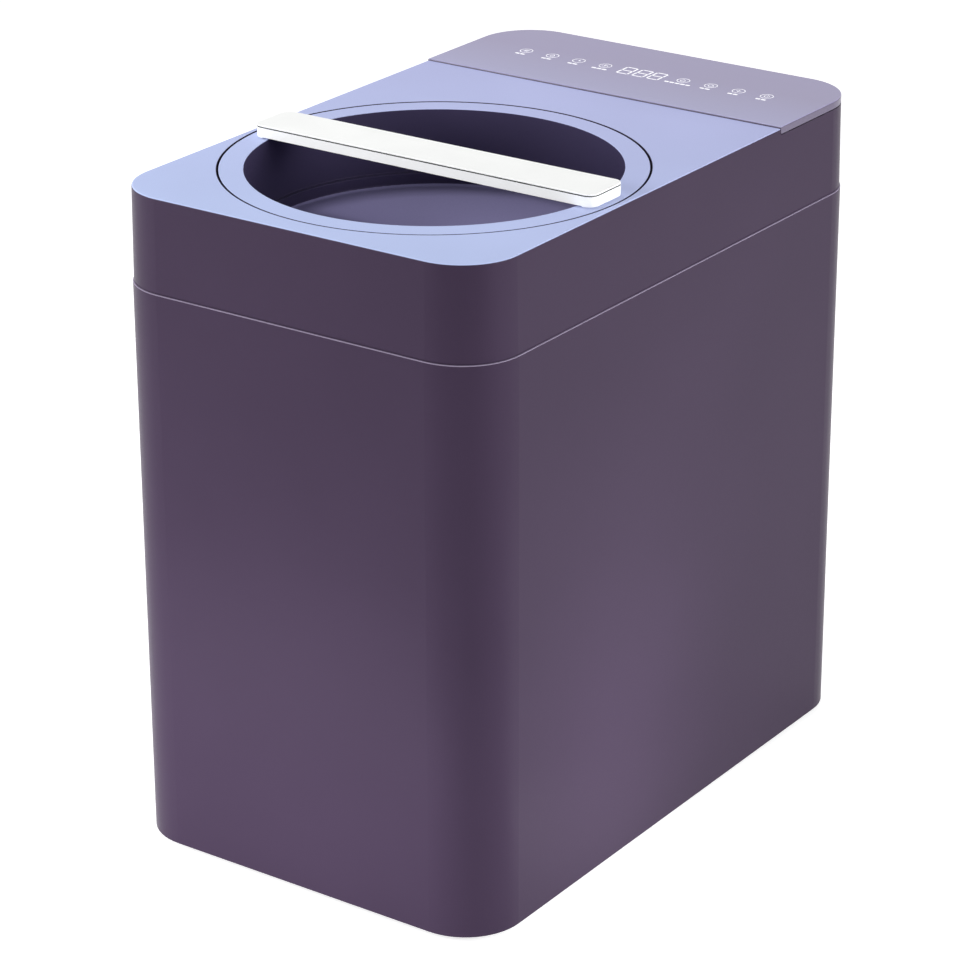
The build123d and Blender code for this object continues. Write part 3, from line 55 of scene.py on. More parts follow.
Colour = tuple[float, float, float]
Point = tuple[float, float, float]
Spot = tuple[float, float]
Socket = bpy.types.NodeSocket
Value = Socket | float | Colour
Inputs = dict[str | int, Value]
MM = 0.001
FULL_TURN = 360

# Height of the deck, and the lid's upright axis.
DECK_Z = 400.0 * MM
LID_Y = -63.75 * MM
# Middle of the gap round the lid, and the width of the edges that it shades.
GAP_RADIUS = 120.85 * MM
GAP_SHADE = 1.5 * MM
# Range that a fractal noise mostly keeps to.
USUAL_NOISE = (0.3, 0.7)
# Degrees that the first screw of a set is turned by, and that each next one adds.
SCREW_TURN = 17
SCREW_TURN_STEP = 41


def shade(red: int, green: int, blue: int) -> Colour:
    """Linear colour of a paint chip.

    Args:
        red: Red of the chip, 0 to 255.
        green: Green of the chip, 0 to 255.
        blue: Blue of the chip, 0 to 255.

    Returns:
        The same colour in linear light.
    """
    parts = [value / 255 for value in (red, green, blue)]
    linear = [part / 12.92 if part <= 0.04045 else ((part + 0.055) / 1.055) ** 2.4 for part in parts]
    return (linear[0], linear[1], linear[2])


def polar(radius: float, degrees: float) -> Spot:
    """Point at a distance and a direction from the middle."""
    angle = math.radians(degrees)
    return (radius * math.cos(angle), radius * math.sin(angle))


# ---------------------------------------------------------------- node trees
class NodeGraph:
    """Node tree of a material or world, with a short call for each kind of node in use."""

    def __init__(self, owner: bpy.types.Material | bpy.types.World) -> None:
        """Start an empty tree.

        Args:
            owner: Material or world that the tree belongs to.
        """
        owner.use_nodes = True
        self.tree = owner.node_tree
        self.tree.nodes.clear()
        self.place: Socket = self.add("ShaderNodeTexCoord").outputs["Object"]

    def add(self, kind: str, inputs: Inputs | None = None, **settings: object) -> bpy.types.Node:
        """Add a node.

        Args:
            kind: Blender's name for the kind of node.
            inputs: Values or sockets for the node's inputs, by name or index.
            **settings: The node's own settings.

        Returns:
            The new node.
        """
        node = self.tree.nodes.new(kind)
        for key, setting in settings.items():
            setattr(node, key, setting)
        for key, value in (inputs or {}).items():
            self.feed(node.inputs[key], value)
        return node

    def feed(self, socket: Socket, value: Value) -> None:
        """Set an input, or link another node's output to it.

        Args:
            socket: The input.
            value: A constant, or the output to link.
        """
        if isinstance(value, bpy.types.NodeSocket):
            self.tree.links.new(value, socket)
        elif socket.type == "RGBA":
            socket.default_value = (*value, 1.0)
        else:
            socket.default_value = value

    def stretched(self, scale: Point) -> Socket:
        """Object position, scaled by a factor along each axis."""
        return self.add("ShaderNodeMapping", {"Vector": self.place, "Scale": scale}).outputs["Vector"]

    def noise(self, scale: float, detail: float = 3.0, vector: Socket | None = None) -> Socket:
        """Fractal noise.

        Args:
            scale: Cells per metre.
            detail: Octaves.
            vector: Where to sample, or None for the object's own position.

        Returns:
            The noise, 0 to 1.
        """
        inputs: Inputs = {"Vector": vector or self.place, "Scale": scale, "Detail": detail}
        return self.add("ShaderNodeTexNoise", inputs).outputs["Fac"]

    def cells(self, scale: float, feature: str = "F1", output: str = "Distance") -> Socket:
        """Cell noise.

        Args:
            scale: Cells per metre.
            feature: Blender's name for the feature.
            output: Output to take.

        Returns:
            The chosen output.
        """
        node = self.add("ShaderNodeTexVoronoi", {"Vector": self.place, "Scale": scale}, feature=feature)
        return node.outputs[output]

    def radius(self, centre: Spot) -> Socket:
        """Distance from an upright axis, as a vector that varies only with it.

        Args:
            centre: The axis, in X and Y.

        Returns:
            A vector of distance and height.
        """
        offset = self.add(
            "ShaderNodeVectorMath", {0: self.place, 1: (-centre[0], -centre[1], 0.0)}, operation="ADD"
        ).outputs["Vector"]
        parts = self.add("ShaderNodeSeparateXYZ", {"Vector": offset}).outputs
        flat = self.add("ShaderNodeCombineXYZ", {"X": parts["X"], "Y": parts["Y"]}).outputs["Vector"]
        length = self.add("ShaderNodeVectorMath", {0: flat}, operation="LENGTH").outputs["Value"]
        return self.add("ShaderNodeCombineXYZ", {"X": length, "Y": parts["Z"]}).outputs["Vector"]

    def component(self, vector: Socket, axis: str) -> Socket:
        """One of a vector's three numbers."""
        return self.add("ShaderNodeSeparateXYZ", {"Vector": vector}).outputs[axis]

    def calc(self, operation: str, first: Value, second: Value = 0.0) -> Socket:
        """Result of a sum on one or two numbers.

        Args:
            operation: Blender's name for the operation.
            first: First number.
            second: Second number.

        Returns:
            The result.
        """
        return self.add("ShaderNodeMath", {0: first, 1: second}, operation=operation).outputs[0]

    def spread(self, value: Value, low: float, high: float, start: float = 0.0, end: float = 1.0) -> Socket:
        """Map a number's range onto another, held at both ends.

        Args:
            value: The number.
            low: Result at start.
            high: Result at end.
            start: Where the range starts.
            end: Where the range ends.

        Returns:
            The mapped number.
        """
        inputs: Inputs = {
            "Value": value, "From Min": start, "From Max": end, "To Min": low, "To Max": high,
        }
        return self.add("ShaderNodeMapRange", inputs).outputs["Result"]

    def vary(self, noise: Value, low: float, high: float) -> Socket:
        """Number that drifts between two values as a noise does."""
        return self.spread(noise, low, high, *USUAL_NOISE)

    def blend(self, factor: Value, first: Value, second: Value) -> Socket:
        """Blend two colours.

        Args:
            factor: Share of the second colour.
            first: First colour.
            second: Second colour.

        Returns:
            The blended colour.
        """
        return self.add("ShaderNodeMix", {0: factor, 6: first, 7: second}, data_type="RGBA").outputs[2]

    def tint(self, colour: Value, amount: Socket) -> Socket:
        """Make a colour lighter or darker all over.

        Args:
            colour: The colour.
            amount: Number near 1 that it is scaled by.

        Returns:
            The scaled colour.
        """
        scaled = self.add("ShaderNodeVectorMath", {0: colour, 3: amount}, operation="SCALE")
        if not isinstance(colour, bpy.types.NodeSocket):
            scaled.inputs[0].default_value = colour
        return scaled.outputs["Vector"]

    def bump(
        self, height: Socket, depth: float, strength: float = 1.0, under: Socket | None = None
    ) -> Socket:
        """Surface relief.

        Args:
            height: Height of the relief, 0 to 1.
            depth: Depth of the relief in metres.
            strength: Strength of the effect.
            under: Relief that this one lies on.

        Returns:
            The bent normal.
        """
        inputs: Inputs = {"Height": height, "Distance": depth, "Strength": strength}
        if under is not None:
            inputs["Normal"] = under
        return self.add("ShaderNodeBump", inputs).outputs["Normal"]

    def facing_up(self, above: float, low: float = 0.45, high: float = 0.7) -> Socket:
        """Mask of the faces that look upwards, above a level.

        Args:
            above: The level.
            low: Normal's Z where the mask starts.
            high: Normal's Z where the mask is whole.

        Returns:
            The mask, 0 to 1.
        """
        up = self.component(self.add("ShaderNodeNewGeometry").outputs["Normal"], "Z")
        high_enough = self.calc("GREATER_THAN", self.component(self.place, "Z"), above)
        return self.calc("MULTIPLY", self.spread(up, 0.0, 1.0, low, high), high_enough)

    def along(self, axis: str, start: float, end: float) -> Socket:
        """Share of the way along an axis, from 0 at start to 1 at end."""
        return self.spread(self.component(self.place, axis), 0.0, 1.0, start, end)

    def between(self, low: float, high: float) -> Socket:
        """Mask of what lies between two heights.

        Args:
            low: Lower height.
            high: Upper height.

        Returns:
            The mask, 0 or 1.
        """
        height = self.component(self.place, "Z")
        above, below = self.calc("GREATER_THAN", height, low), self.calc("LESS_THAN", height, high)
        return self.calc("MULTIPLY", above, below)


# ---------------------------------------------------------------- finishes
class Finish(ABC):
    """A finish, which can make its own material."""

    @abstractmethod
    def shader(self, graph: NodeGraph) -> Inputs:
        """Inputs of the main shader, by name."""

    def material(self, name: str) -> bpy.types.Material:
        """Make a material of this finish.

        Args:
            name: Name of the material.

        Returns:
            The material.
        """
        material = bpy.data.materials.new(name)
        graph = NodeGraph(material)
        shader = graph.add("ShaderNodeBsdfPrincipled", self.shader(graph))
        graph.add("ShaderNodeOutputMaterial", {"Surface": shader.outputs["BSDF"]})
        return material


@dataclass(frozen=True)
class SatinPaint(Finish):
    """Satin paint with a fine metallic fleck over moulded plastic.

    Attributes:
        side: Colour of walls and of everything that looks down.
        top_front: Colour of the deck at the front, paler and bluer than at the back as painted light.
        top_back: Colour of the deck at the back.
        painted_light_band: Colour painted between the two heights of the band as painted light.
        painted_light_heights: Heights of the band of painted light.
        level: Height above which faces that look upwards are pale.
        roughness: Mean roughness of the walls.
        top_roughness: Mean roughness of the deck.
        specular: Strength of the plain reflection on the walls.
        top_specular: Strength of the plain reflection on the deck.
        gap_shade: Colour of the edges that the gap round the lid shades.
        fade_y: Where the deck's painted light changes from its front colour into the back one.
        sheen: Colour of the plain reflection.
    """

    side: Colour = shade(57, 46, 64)
    top_front: Colour = shade(186, 200, 240)
    top_back: Colour = shade(179, 184, 225)
    painted_light_band: Colour = shade(57, 46, 64)
    painted_light_heights: Spot = (0.0, 0.0)
    level: float = DECK_Z - 2 * MM
    roughness: float = 0.34
    top_roughness: float = 0.5
    specular: float = 0.06
    top_specular: float = 0.17
    gap_shade: Colour = shade(52, 50, 78)
    fade_y: Spot = (-0.2, 0.1)
    sheen: Colour = (0.8, 0.68, 0.92)

    def shader(self, graph: NodeGraph) -> Inputs:
        """Inputs of the main shader.

        Args:
            graph: Tree to build in.

        Returns:
            The inputs, by name.
        """
        cloud = graph.noise(9.0, 2.0)
        fleck = graph.noise(2600.0, 1.0)
        grain = graph.noise(900.0, 4.0)
        # Painted light: the deck drifts from a paler, bluer front to a darker back.
        pale = graph.blend(graph.along("Y", *self.fade_y), self.top_front, self.top_back)
        # Painted shade: a dark ring on the upward faces either side of the gap round the lid.
        reach = graph.component(graph.radius((0.0, LID_Y)), "X")
        off_gap = graph.calc("ABSOLUTE", graph.calc("SUBTRACT", reach, GAP_RADIUS))
        top = graph.blend(graph.calc("LESS_THAN", off_gap, GAP_SHADE / 2), pale, self.gap_shade)
        mask = graph.facing_up(self.level)
        # Painted light: between two heights the walls take a paler colour, a painted highlight on the lower
        # housing's seam and painted light on the lid's well floor.
        low = graph.blend(graph.between(*self.painted_light_heights), self.side, self.painted_light_band)
        colour = graph.blend(mask, low, top)
        shift = graph.calc("MULTIPLY", graph.vary(cloud, 0.965, 1.035), graph.vary(fleck, 0.95, 1.05))
        plain = graph.spread(mask, self.roughness, self.top_roughness)
        rough = graph.calc("ADD", plain, graph.vary(grain, -0.05, 0.05))
        peel = graph.bump(graph.noise(160.0, 1.0), 0.012 * MM)
        relief = graph.bump(grain, 0.02 * MM, 0.6, peel)
        return {
            "Base Color": graph.tint(colour, shift), "Roughness": rough,
            "Specular IOR Level": graph.spread(mask, self.specular, self.top_specular),
            "Specular Tint": self.sheen, "Normal": relief,
        }


@dataclass(frozen=True)
class PanelFilm(Finish):
    """Smooth touch film, paler on top than round its skirt.

    Attributes:
        top: Colour of the key area.
        edge: Colour along the front of the panel.
        skirt: Colour of the skirt.
        fade_y: Where the front's colour starts and ends its change into the key area's.
    """

    top: Colour = shade(150, 143, 178)
    edge: Colour = shade(159, 157, 194)
    skirt: Colour = shade(88, 79, 103)
    fade_y: Spot = (0.104, 0.16)

    def shader(self, graph: NodeGraph) -> Inputs:
        """Inputs of the main shader.

        Args:
            graph: Tree to build in.

        Returns:
            The inputs, by name.
        """
        top = graph.blend(graph.along("Y", *self.fade_y), self.edge, self.top)
        colour = graph.blend(graph.facing_up(DECK_Z), self.skirt, top)
        haze = graph.noise(14.0, 2.0)
        dots = graph.noise(3000.0, 1.0)
        rough = graph.calc("ADD", graph.vary(haze, 0.27, 0.33), graph.spread(dots, 0.0, 0.05))
        return {
            "Base Color": graph.tint(colour, graph.vary(haze, 0.98, 1.02)), "Roughness": rough,
            "Specular IOR Level": 0.35, "Coat Weight": 0.15, "Coat Roughness": 0.2,
            "Normal": graph.bump(dots, 0.004 * MM),
        }


@dataclass(frozen=True)
class MouldedPlastic(Finish):
    """Moulded plastic with an even spark-eroded grain.

    Attributes:
        colour: Colour.
        roughness: Mean roughness.
        grain: Cells of the grain per metre.
        depth: Depth of the grain in metres.
        specular: Strength of the plain reflection.
        groove_shadow_heights: Heights of a parting groove that is painted as painted shadow, or None.
        groove_shade: Colour of the painted shadow in the groove.
    """

    colour: Colour
    roughness: float = 0.5
    grain: float = 1400.0
    depth: float = 0.03 * MM
    specular: float = 0.4
    groove_shadow_heights: Spot | None = None
    groove_shade: Colour = (0.02, 0.022, 0.02)

    def shader(self, graph: NodeGraph) -> Inputs:
        """Inputs of the main shader.

        Args:
            graph: Tree to build in.

        Returns:
            The inputs, by name.
        """
        grain = graph.noise(self.grain, 4.0)
        flow = graph.noise(22.0, 2.0)
        rough = graph.calc("ADD", graph.vary(grain, -0.06, 0.06), self.roughness)
        colour = graph.tint(self.colour, graph.vary(flow, 0.97, 1.03))
        # Painted shadow: the parting groove between two heights is painted near black.
        if self.groove_shadow_heights is not None:
            colour = graph.blend(graph.between(*self.groove_shadow_heights), colour, self.groove_shade)
        return {
            "Base Color": colour, "Roughness": rough,
            "Specular IOR Level": self.specular, "Normal": graph.bump(grain, self.depth),
        }


@dataclass(frozen=True)
class Elastomer(Finish):
    """Rubber or silicone, dull and faintly dusty.

    Attributes:
        colour: Colour.
        dust: Colour that the surface drifts towards.
        roughness: Mean roughness.
    """

    colour: Colour
    dust: Colour
    roughness: float = 0.72

    def shader(self, graph: NodeGraph) -> Inputs:
        """Inputs of the main shader.

        Args:
            graph: Tree to build in.

        Returns:
            The inputs, by name.
        """
        bloom = graph.noise(60.0, 5.0)
        pores = graph.noise(1800.0, 3.0)
        colour = graph.blend(graph.spread(bloom, 0.0, 0.35, 0.45, 0.75), self.colour, self.dust)
        rough = graph.calc("ADD", graph.vary(pores, -0.08, 0.08), self.roughness)
        return {
            "Base Color": colour, "Roughness": rough, "Specular IOR Level": 0.3,
            "Normal": graph.bump(pores, 0.04 * MM),
        }


class Lay(Enum):
    """Direction of the tool marks on a metal piece."""

    ACROSS = "across"
    UPRIGHT = "upright"
    TURNED = "turned"
    BLASTED = "blasted"


@dataclass(frozen=True)
class BareMetal(Finish):
    """Bare metal with the marks of its making.

    Attributes:
        colour: Colour of the metal.
        tarnish: Colour of its duller patches.
        lay: Direction of the marks.
        roughness: Mean roughness.
        centre: Axis of turned marks, in X and Y.
        depth: Depth of the marks in metres.
        bare: Share of the surface that no skin of oxide dulls.
        wear: Roughness that a wholly dull patch adds.
    """

    colour: Colour
    tarnish: Colour
    lay: Lay = Lay.ACROSS
    roughness: float = 0.34
    centre: Spot = (0.0, LID_Y)
    depth: float = 0.012 * MM
    bare: float = 1.0
    wear: float = 0.12

    def marks(self, graph: NodeGraph) -> Socket:
        """Pattern of the tool marks.

        Args:
            graph: Tree to build in.

        Returns:
            Height of the marks, 0 to 1.
        """
        if self.lay is Lay.TURNED:
            return graph.noise(1500.0, 2.0, graph.radius(self.centre))
        if self.lay is Lay.BLASTED:
            return graph.noise(1600.0, 5.0)
        scale = (0.02, 1.0, 1.0) if self.lay is Lay.ACROSS else (1.0, 1.0, 0.02)
        return graph.noise(2400.0, 3.0, graph.stretched(scale))

    def shader(self, graph: NodeGraph) -> Inputs:
        """Inputs of the main shader.

        Args:
            graph: Tree to build in.

        Returns:
            The inputs, by name.
        """
        marks = self.marks(graph)
        patches = graph.noise(35.0, 4.0)
        dull = graph.spread(patches, 0.0, 0.35, 0.4, 0.8)
        colour = graph.blend(dull, self.colour, self.tarnish)
        worn = graph.spread(dull, self.roughness, self.roughness + self.wear)
        rough = graph.calc("ADD", graph.vary(marks, -0.07, 0.07), worn)
        return {
            "Base Color": colour, "Metallic": self.bare, "Roughness": rough,
            "Normal": graph.bump(marks, self.depth),
        }


@dataclass(frozen=True)
class Enamel(Finish):
    """Baked enamel, hard and slightly wavy, with dulled patches.

    Attributes:
        colour: Colour.
        roughness: Mean roughness.
    """

    colour: Colour
    roughness: float = 0.35

    def shader(self, graph: NodeGraph) -> Inputs:
        """Inputs of the main shader.

        Args:
            graph: Tree to build in.

        Returns:
            The inputs, by name.
        """
        wave = graph.noise(240.0, 1.0)
        dull = graph.noise(40.0, 4.0)
        rough = graph.spread(dull, self.roughness - 0.05, self.roughness + 0.15, 0.35, 0.7)
        return {
            "Base Color": graph.tint(self.colour, graph.vary(dull, 0.9, 1.15)), "Roughness": rough,
            "Coat Weight": 0.4, "Coat Roughness": 0.25, "Normal": graph.bump(wave, 0.02 * MM),
        }


@dataclass(frozen=True)
class NeedleFelt(Finish):
    """Felt of pressed fibres.

    Attributes:
        colour: Colour of the fibres.
        shadow: Colour between the fibres.
    """

    colour: Colour
    shadow: Colour

    def shader(self, graph: NodeGraph) -> Inputs:
        """Inputs of the main shader.

        Args:
            graph: Tree to build in.

        Returns:
            The inputs, by name.
        """
        long_way = graph.noise(900.0, 5.0, graph.stretched((1.0, 0.25, 0.4)))
        cross_way = graph.noise(900.0, 5.0, graph.stretched((0.3, 1.0, 1.0)))
        fibre = graph.calc("MAXIMUM", long_way, cross_way)
        colour = graph.blend(graph.spread(fibre, 0.0, 1.0, 0.4, 0.7), self.shadow, self.colour)
        return {
            "Base Color": colour, "Roughness": 0.95, "Sheen Weight": 0.3, "Sheen Roughness": 0.6,
            "Normal": graph.bump(fibre, 0.3 * MM),
        }


@dataclass(frozen=True)
class Granules(Finish):
    """Loose black granules packed behind a grating.

    Attributes:
        colour: Colour of a granule.
        glint: Colour of a granule's brighter faces.
        size: Granules per metre.
    """

    colour: Colour
    glint: Colour
    size: float = 420.0

    def shader(self, graph: NodeGraph) -> Inputs:
        """Inputs of the main shader.

        Args:
            graph: Tree to build in.

        Returns:
            The inputs, by name.
        """
        grain = graph.cells(self.size)
        pick = graph.component(graph.cells(self.size, output="Color"), "X")
        colour = graph.blend(graph.spread(pick, 0.0, 1.0, 0.6, 1.0), self.colour, self.glint)
        height = graph.calc("SUBTRACT", 1.0, grain)
        return {
            "Base Color": colour, "Roughness": graph.spread(pick, 0.45, 0.85),
            "Normal": graph.bump(height, 0.8 * MM),
        }


@dataclass(frozen=True)
class BoardLaminate(Finish):
    """Circuit board under green solder resist, with tracks and pads.

    Attributes:
        resist: Colour of the resist.
        track: Colour over a copper track.
        pad: Colour of a tinned pad.
        pitch: Tracks per metre.
        pad_reach: Reach of a pad, as a share of the pitch.
    """

    resist: Colour = shade(22, 92, 58)
    track: Colour = shade(38, 122, 78)
    pad: Colour = shade(196, 190, 170)
    pitch: float = 160.0
    pad_reach: float = 0.16

    def shader(self, graph: NodeGraph) -> Inputs:
        """Inputs of the main shader.

        Args:
            graph: Tree to build in.

        Returns:
            The inputs, by name.
        """
        blocks = graph.add(
            "ShaderNodeTexVoronoi", {"Vector": graph.place, "Scale": self.pitch}, distance="MANHATTAN"
        ).outputs
        runs = graph.noise(self.pitch, 1.0, graph.stretched((1.0, 0.15, 1.0)))
        tracks = graph.spread(runs, 0.0, 1.0, 0.52, 0.55)
        pads = graph.calc("LESS_THAN", blocks["Distance"], self.pad_reach)
        colour = graph.blend(pads, graph.blend(tracks, self.resist, self.track), self.pad)
        return {
            "Base Color": colour, "Roughness": graph.spread(pads, 0.3, 0.45), "Specular IOR Level": 0.5,
            "Normal": graph.bump(graph.calc("MAXIMUM", tracks, pads), 0.05 * MM),
        }


@dataclass(frozen=True)
class PrintedInk(Finish):
    """White marks lit from behind the touch film.

    Attributes:
        colour: Colour of the marks.
        glow: Strength of the light behind them.
    """

    colour: Colour = (0.94, 0.94, 0.97)
    glow: float = 0.25

    def shader(self, graph: NodeGraph) -> Inputs:
        """Inputs of the main shader.

        Args:
            graph: Tree to build in.

        Returns:
            The inputs, by name.
        """
        mottle = graph.noise(1200.0, 2.0)
        return {
            "Base Color": graph.tint(self.colour, graph.spread(mottle, 0.96, 1.0)), "Roughness": 0.4,
            "Emission Color": self.colour, "Emission Strength": self.glow,
        }


# ---------------------------------------------------------------- shared making
def dress(name: str, finish: Finish) -> None:
    """Give a node of the frame a finish of its own.

    Args:
        name: The node.
        finish: Its finish.
    """
    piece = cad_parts[name]
    material = finish.material(f"{name}_finish")
    if not piece.material_slots:
        piece.data.materials.append(material)
    for holder in piece.material_slots:
        holder.material = material
    log.info("dressed %s", name)


def new_piece(name: str, mesh: bmesh.types.BMesh, finish: Finish, body: str) -> bpy.types.Object:
    """Turn a finished mesh into a piece that rides on a body.

    Args:
        name: Name of the piece.
        mesh: Its mesh, which is used up.
        finish: Its finish.
        body: Body that it rides on.

    Returns:
        The piece.
    """
    bmesh.ops.recalc_face_normals(mesh, faces=mesh.faces)
    data = bpy.data.meshes.new(name)
    mesh.to_mesh(data)
    mesh.free()
    piece = bpy.data.objects.new(name, data)
    bpy.context.scene.collection.objects.link(piece)
    data.materials.append(finish.material(f"{name}_finish"))
    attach(piece, body)
    log.info("built %s", name)
    return piece


@dataclass
class MarkSheet:
    """Thin flat marks, raised a hair above the panel.

    Attributes:
        base: Height that the marks lie on.
        thickness: Thickness of the ink.
        mesh: Mesh that the marks are added to.
    """

    base: float
    thickness: float = 0.05 * MM
    mesh: bmesh.types.BMesh = field(default_factory=bmesh.new)

    def edge(self, x: float, y: float) -> list[bmesh.types.BMVert]:
        """Both ends of an upright edge through the ink, the lower one first."""
        return [self.mesh.verts.new((x, y, self.base + rise)) for rise in (0.0, self.thickness)]

    def prism(self, outline: Sequence[Spot]) -> None:
        """Add a flat mark with straight sides.

        Args:
            outline: Its corners, in order.
        """
        edges = [self.edge(x, y) for x, y in outline]
        self.mesh.faces.new([low for low, _ in edges[::-1]])
        self.mesh.faces.new([high for _, high in edges])
        for (low, high), (next_low, next_high) in zip(edges, edges[1:] + edges[:1]):
            self.mesh.faces.new((low, next_low, next_high, high))

    def stroke(self, start: Spot, end: Spot, width: float, point: float = 0.0) -> None:
        """Add a straight stroke.

        Args:
            start: Middle of one end.
            end: Middle of the other end.
            width: Width of the stroke.
            point: Length of its pointed ends.
        """
        run = Vector((end[0] - start[0], end[1] - start[1]))
        along = run.normalized()
        side = Vector((-along.y, along.x)) * width / 2
        first, last = Vector(start), Vector(end)
        corners = [first + along * point - side, last - along * point - side]
        if point:
            corners.append(last)
        corners += [last - along * point + side, first + along * point + side]
        if point:
            corners.append(first)
        self.prism([(corner.x, corner.y) for corner in corners])

    def bend(
        self, centre: Spot, radius: float, width: float, start: float, sweep: float, steps: int
    ) -> None:
        """Add a stroke along an arc, made of short prisms that share their ends.

        Args:
            centre: Centre of the arc.
            radius: Radius of its middle line.
            width: Width of the stroke.
            start: First angle in degrees.
            sweep: Angle covered in degrees.
            steps: Number of runs.
        """
        closed = sweep >= FULL_TURN
        sections = []
        for step in range(steps if closed else steps + 1):
            section = []
            for reach in (radius - width / 2, radius + width / 2):
                x, y = polar(reach, start + sweep * step / steps)
                section.append(self.edge(centre[0] + x, centre[1] + y))
            sections.append(section)
        following = sections[1:] + sections[:1] if closed else sections[1:]
        for (near_in, near_out), (far_in, far_out) in zip(sections, following):
            self.mesh.faces.new((near_in[1], near_out[1], far_out[1], far_in[1]))
            self.mesh.faces.new((near_in[0], far_in[0], far_out[0], near_out[0]))
            self.mesh.faces.new((near_in[0], near_in[1], far_in[1], far_in[0]))
            self.mesh.faces.new((near_out[0], far_out[0], far_out[1], near_out[1]))
        if not closed:
            for inner, outer in (sections[0], sections[-1]):
                self.mesh.faces.new((inner[0], outer[0], outer[1], inner[1]))

    def dot(self, centre: Spot, radius: float, steps: int = 16) -> None:
        """Add a round dot."""
        rim = [polar(radius, FULL_TURN * step / steps) for step in range(steps)]
        self.prism([(centre[0] + x, centre[1] + y) for x, y in rim])


@dataclass(frozen=True)
class ScrewHead:
    """Pan-head screw with a cross recess, its head along +Z.

    Attributes:
        radius: Radius of the head.
        height: Height of the head.
        shank_radius: Radius of the shank.
        length: Length of the shank.
        recess: Reach of the cross recess.
        depth: Depth of the recess.
        arm: Half the width of the recess's arms, as a share of its reach.
        taper: Size of the recess's floor, as a share of its mouth.
        edge: Shares of the head's height and radius that its rounded edge may take.
        steps: Facets round the head.
    """

    radius: float
    height: float
    shank_radius: float
    length: float
    recess: float
    depth: float
    arm: float = 0.26
    taper: float = 0.7
    edge: Spot = (0.45, 0.25)
    steps: int = 32

    def profile(self) -> list[Spot]:
        """Outline of a turned screw, from the recessed face's rim down to the shank's tip.

        Returns:
            Radius and height of each ring.
        """
        bevel = min(self.height * self.edge[0], self.radius * self.edge[1])
        inset = bevel * 0.3
        tip = self.shank_radius * 0.3
        return [
            (self.radius - bevel, self.height),
            (self.radius - inset, self.height - inset),
            (self.radius, self.height - bevel),
            (self.radius, 0.0),
            (self.shank_radius, 0.0),
            (self.shank_radius, self.shank_radius - self.length),
            (tip, -self.length),
        ]

    def cross(self) -> list[Spot]:
        """Outline of the cross recess.

        Returns:
            Its corners, anticlockwise.
        """
        arm = self.recess * self.arm
        quarter = [(self.recess, -arm), (self.recess, arm), (arm, arm)]
        corners = list(quarter)
        for _ in range(3):
            quarter = [(-y, x) for x, y in quarter]
            corners += quarter
        return corners

    def add_to(self, mesh: bmesh.types.BMesh, place: Matrix) -> None:
        """Add one screw to a mesh.

        Args:
            mesh: Mesh to add to.
            place: Where the screw's seat is, and how it is turned.
        """
        turns = [FULL_TURN * step / self.steps for step in range(self.steps)]
        rings = [
            [mesh.verts.new(place @ Vector((*polar(radius, turn), height))) for turn in turns]
            for radius, height in self.profile()
        ]
        for upper, lower in zip(rings, rings[1:]):
            for step in range(self.steps):
                after = (step + 1) % self.steps
                mesh.faces.new((upper[step], lower[step], lower[after], upper[after]))
        mesh.faces.new(rings[-1][::-1])
        mouth, pit = [], []
        for x, y in self.cross():
            mouth.append(mesh.verts.new(place @ Vector((x, y, self.height))))
            deep = Vector((x * self.taper, y * self.taper, self.height - self.depth))
            pit.append(mesh.verts.new(place @ deep))
        edges = []
        for here in range(len(mouth)):
            after = (here + 1) % len(mouth)
            mesh.faces.new((mouth[here], pit[here], pit[after], mouth[after]))
            edges.append(mesh.edges.get((mouth[here], mouth[after])))
        mesh.faces.new(pit)
        for step in range(self.steps):
            edges.append(mesh.edges.get((rings[0][step], rings[0][(step + 1) % self.steps])))
        bmesh.ops.triangle_fill(mesh, edges=edges, use_beauty=True)


def screws(name: str, head: ScrewHead, places: Iterable[Point], body: str, finish: Finish) -> None:
    """Build a set of screws, heads down, that stands for a node of the frame.

    Args:
        name: The node, which also names the piece.
        head: The screw's form.
        places: Seat of each screw.
        body: Body that the screws ride on.
        finish: Their finish.
    """
    mesh = bmesh.new()
    flip = Matrix.Rotation(math.pi, 4, "X")
    for index, place in enumerate(places):
        turn = Matrix.Rotation(math.radians(SCREW_TURN + SCREW_TURN_STEP * index), 4, "Z")
        head.add_to(mesh, Matrix.Translation(place) @ flip @ turn)
    piece = new_piece(f"{name}_detailed", mesh, finish, body)
    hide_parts(name)


ZINC = BareMetal(shade(176, 178, 184), shade(140, 142, 148), Lay.BLASTED, 0.38)
DARK_MOULDING = MouldedPlastic(shade(46, 44, 50))
PALE_MOULDING = MouldedPlastic(shade(186, 187, 190), 0.46)
GREY_SILICONE = Elastomer(shade(128, 128, 132), shade(150, 150, 153), 0.6)


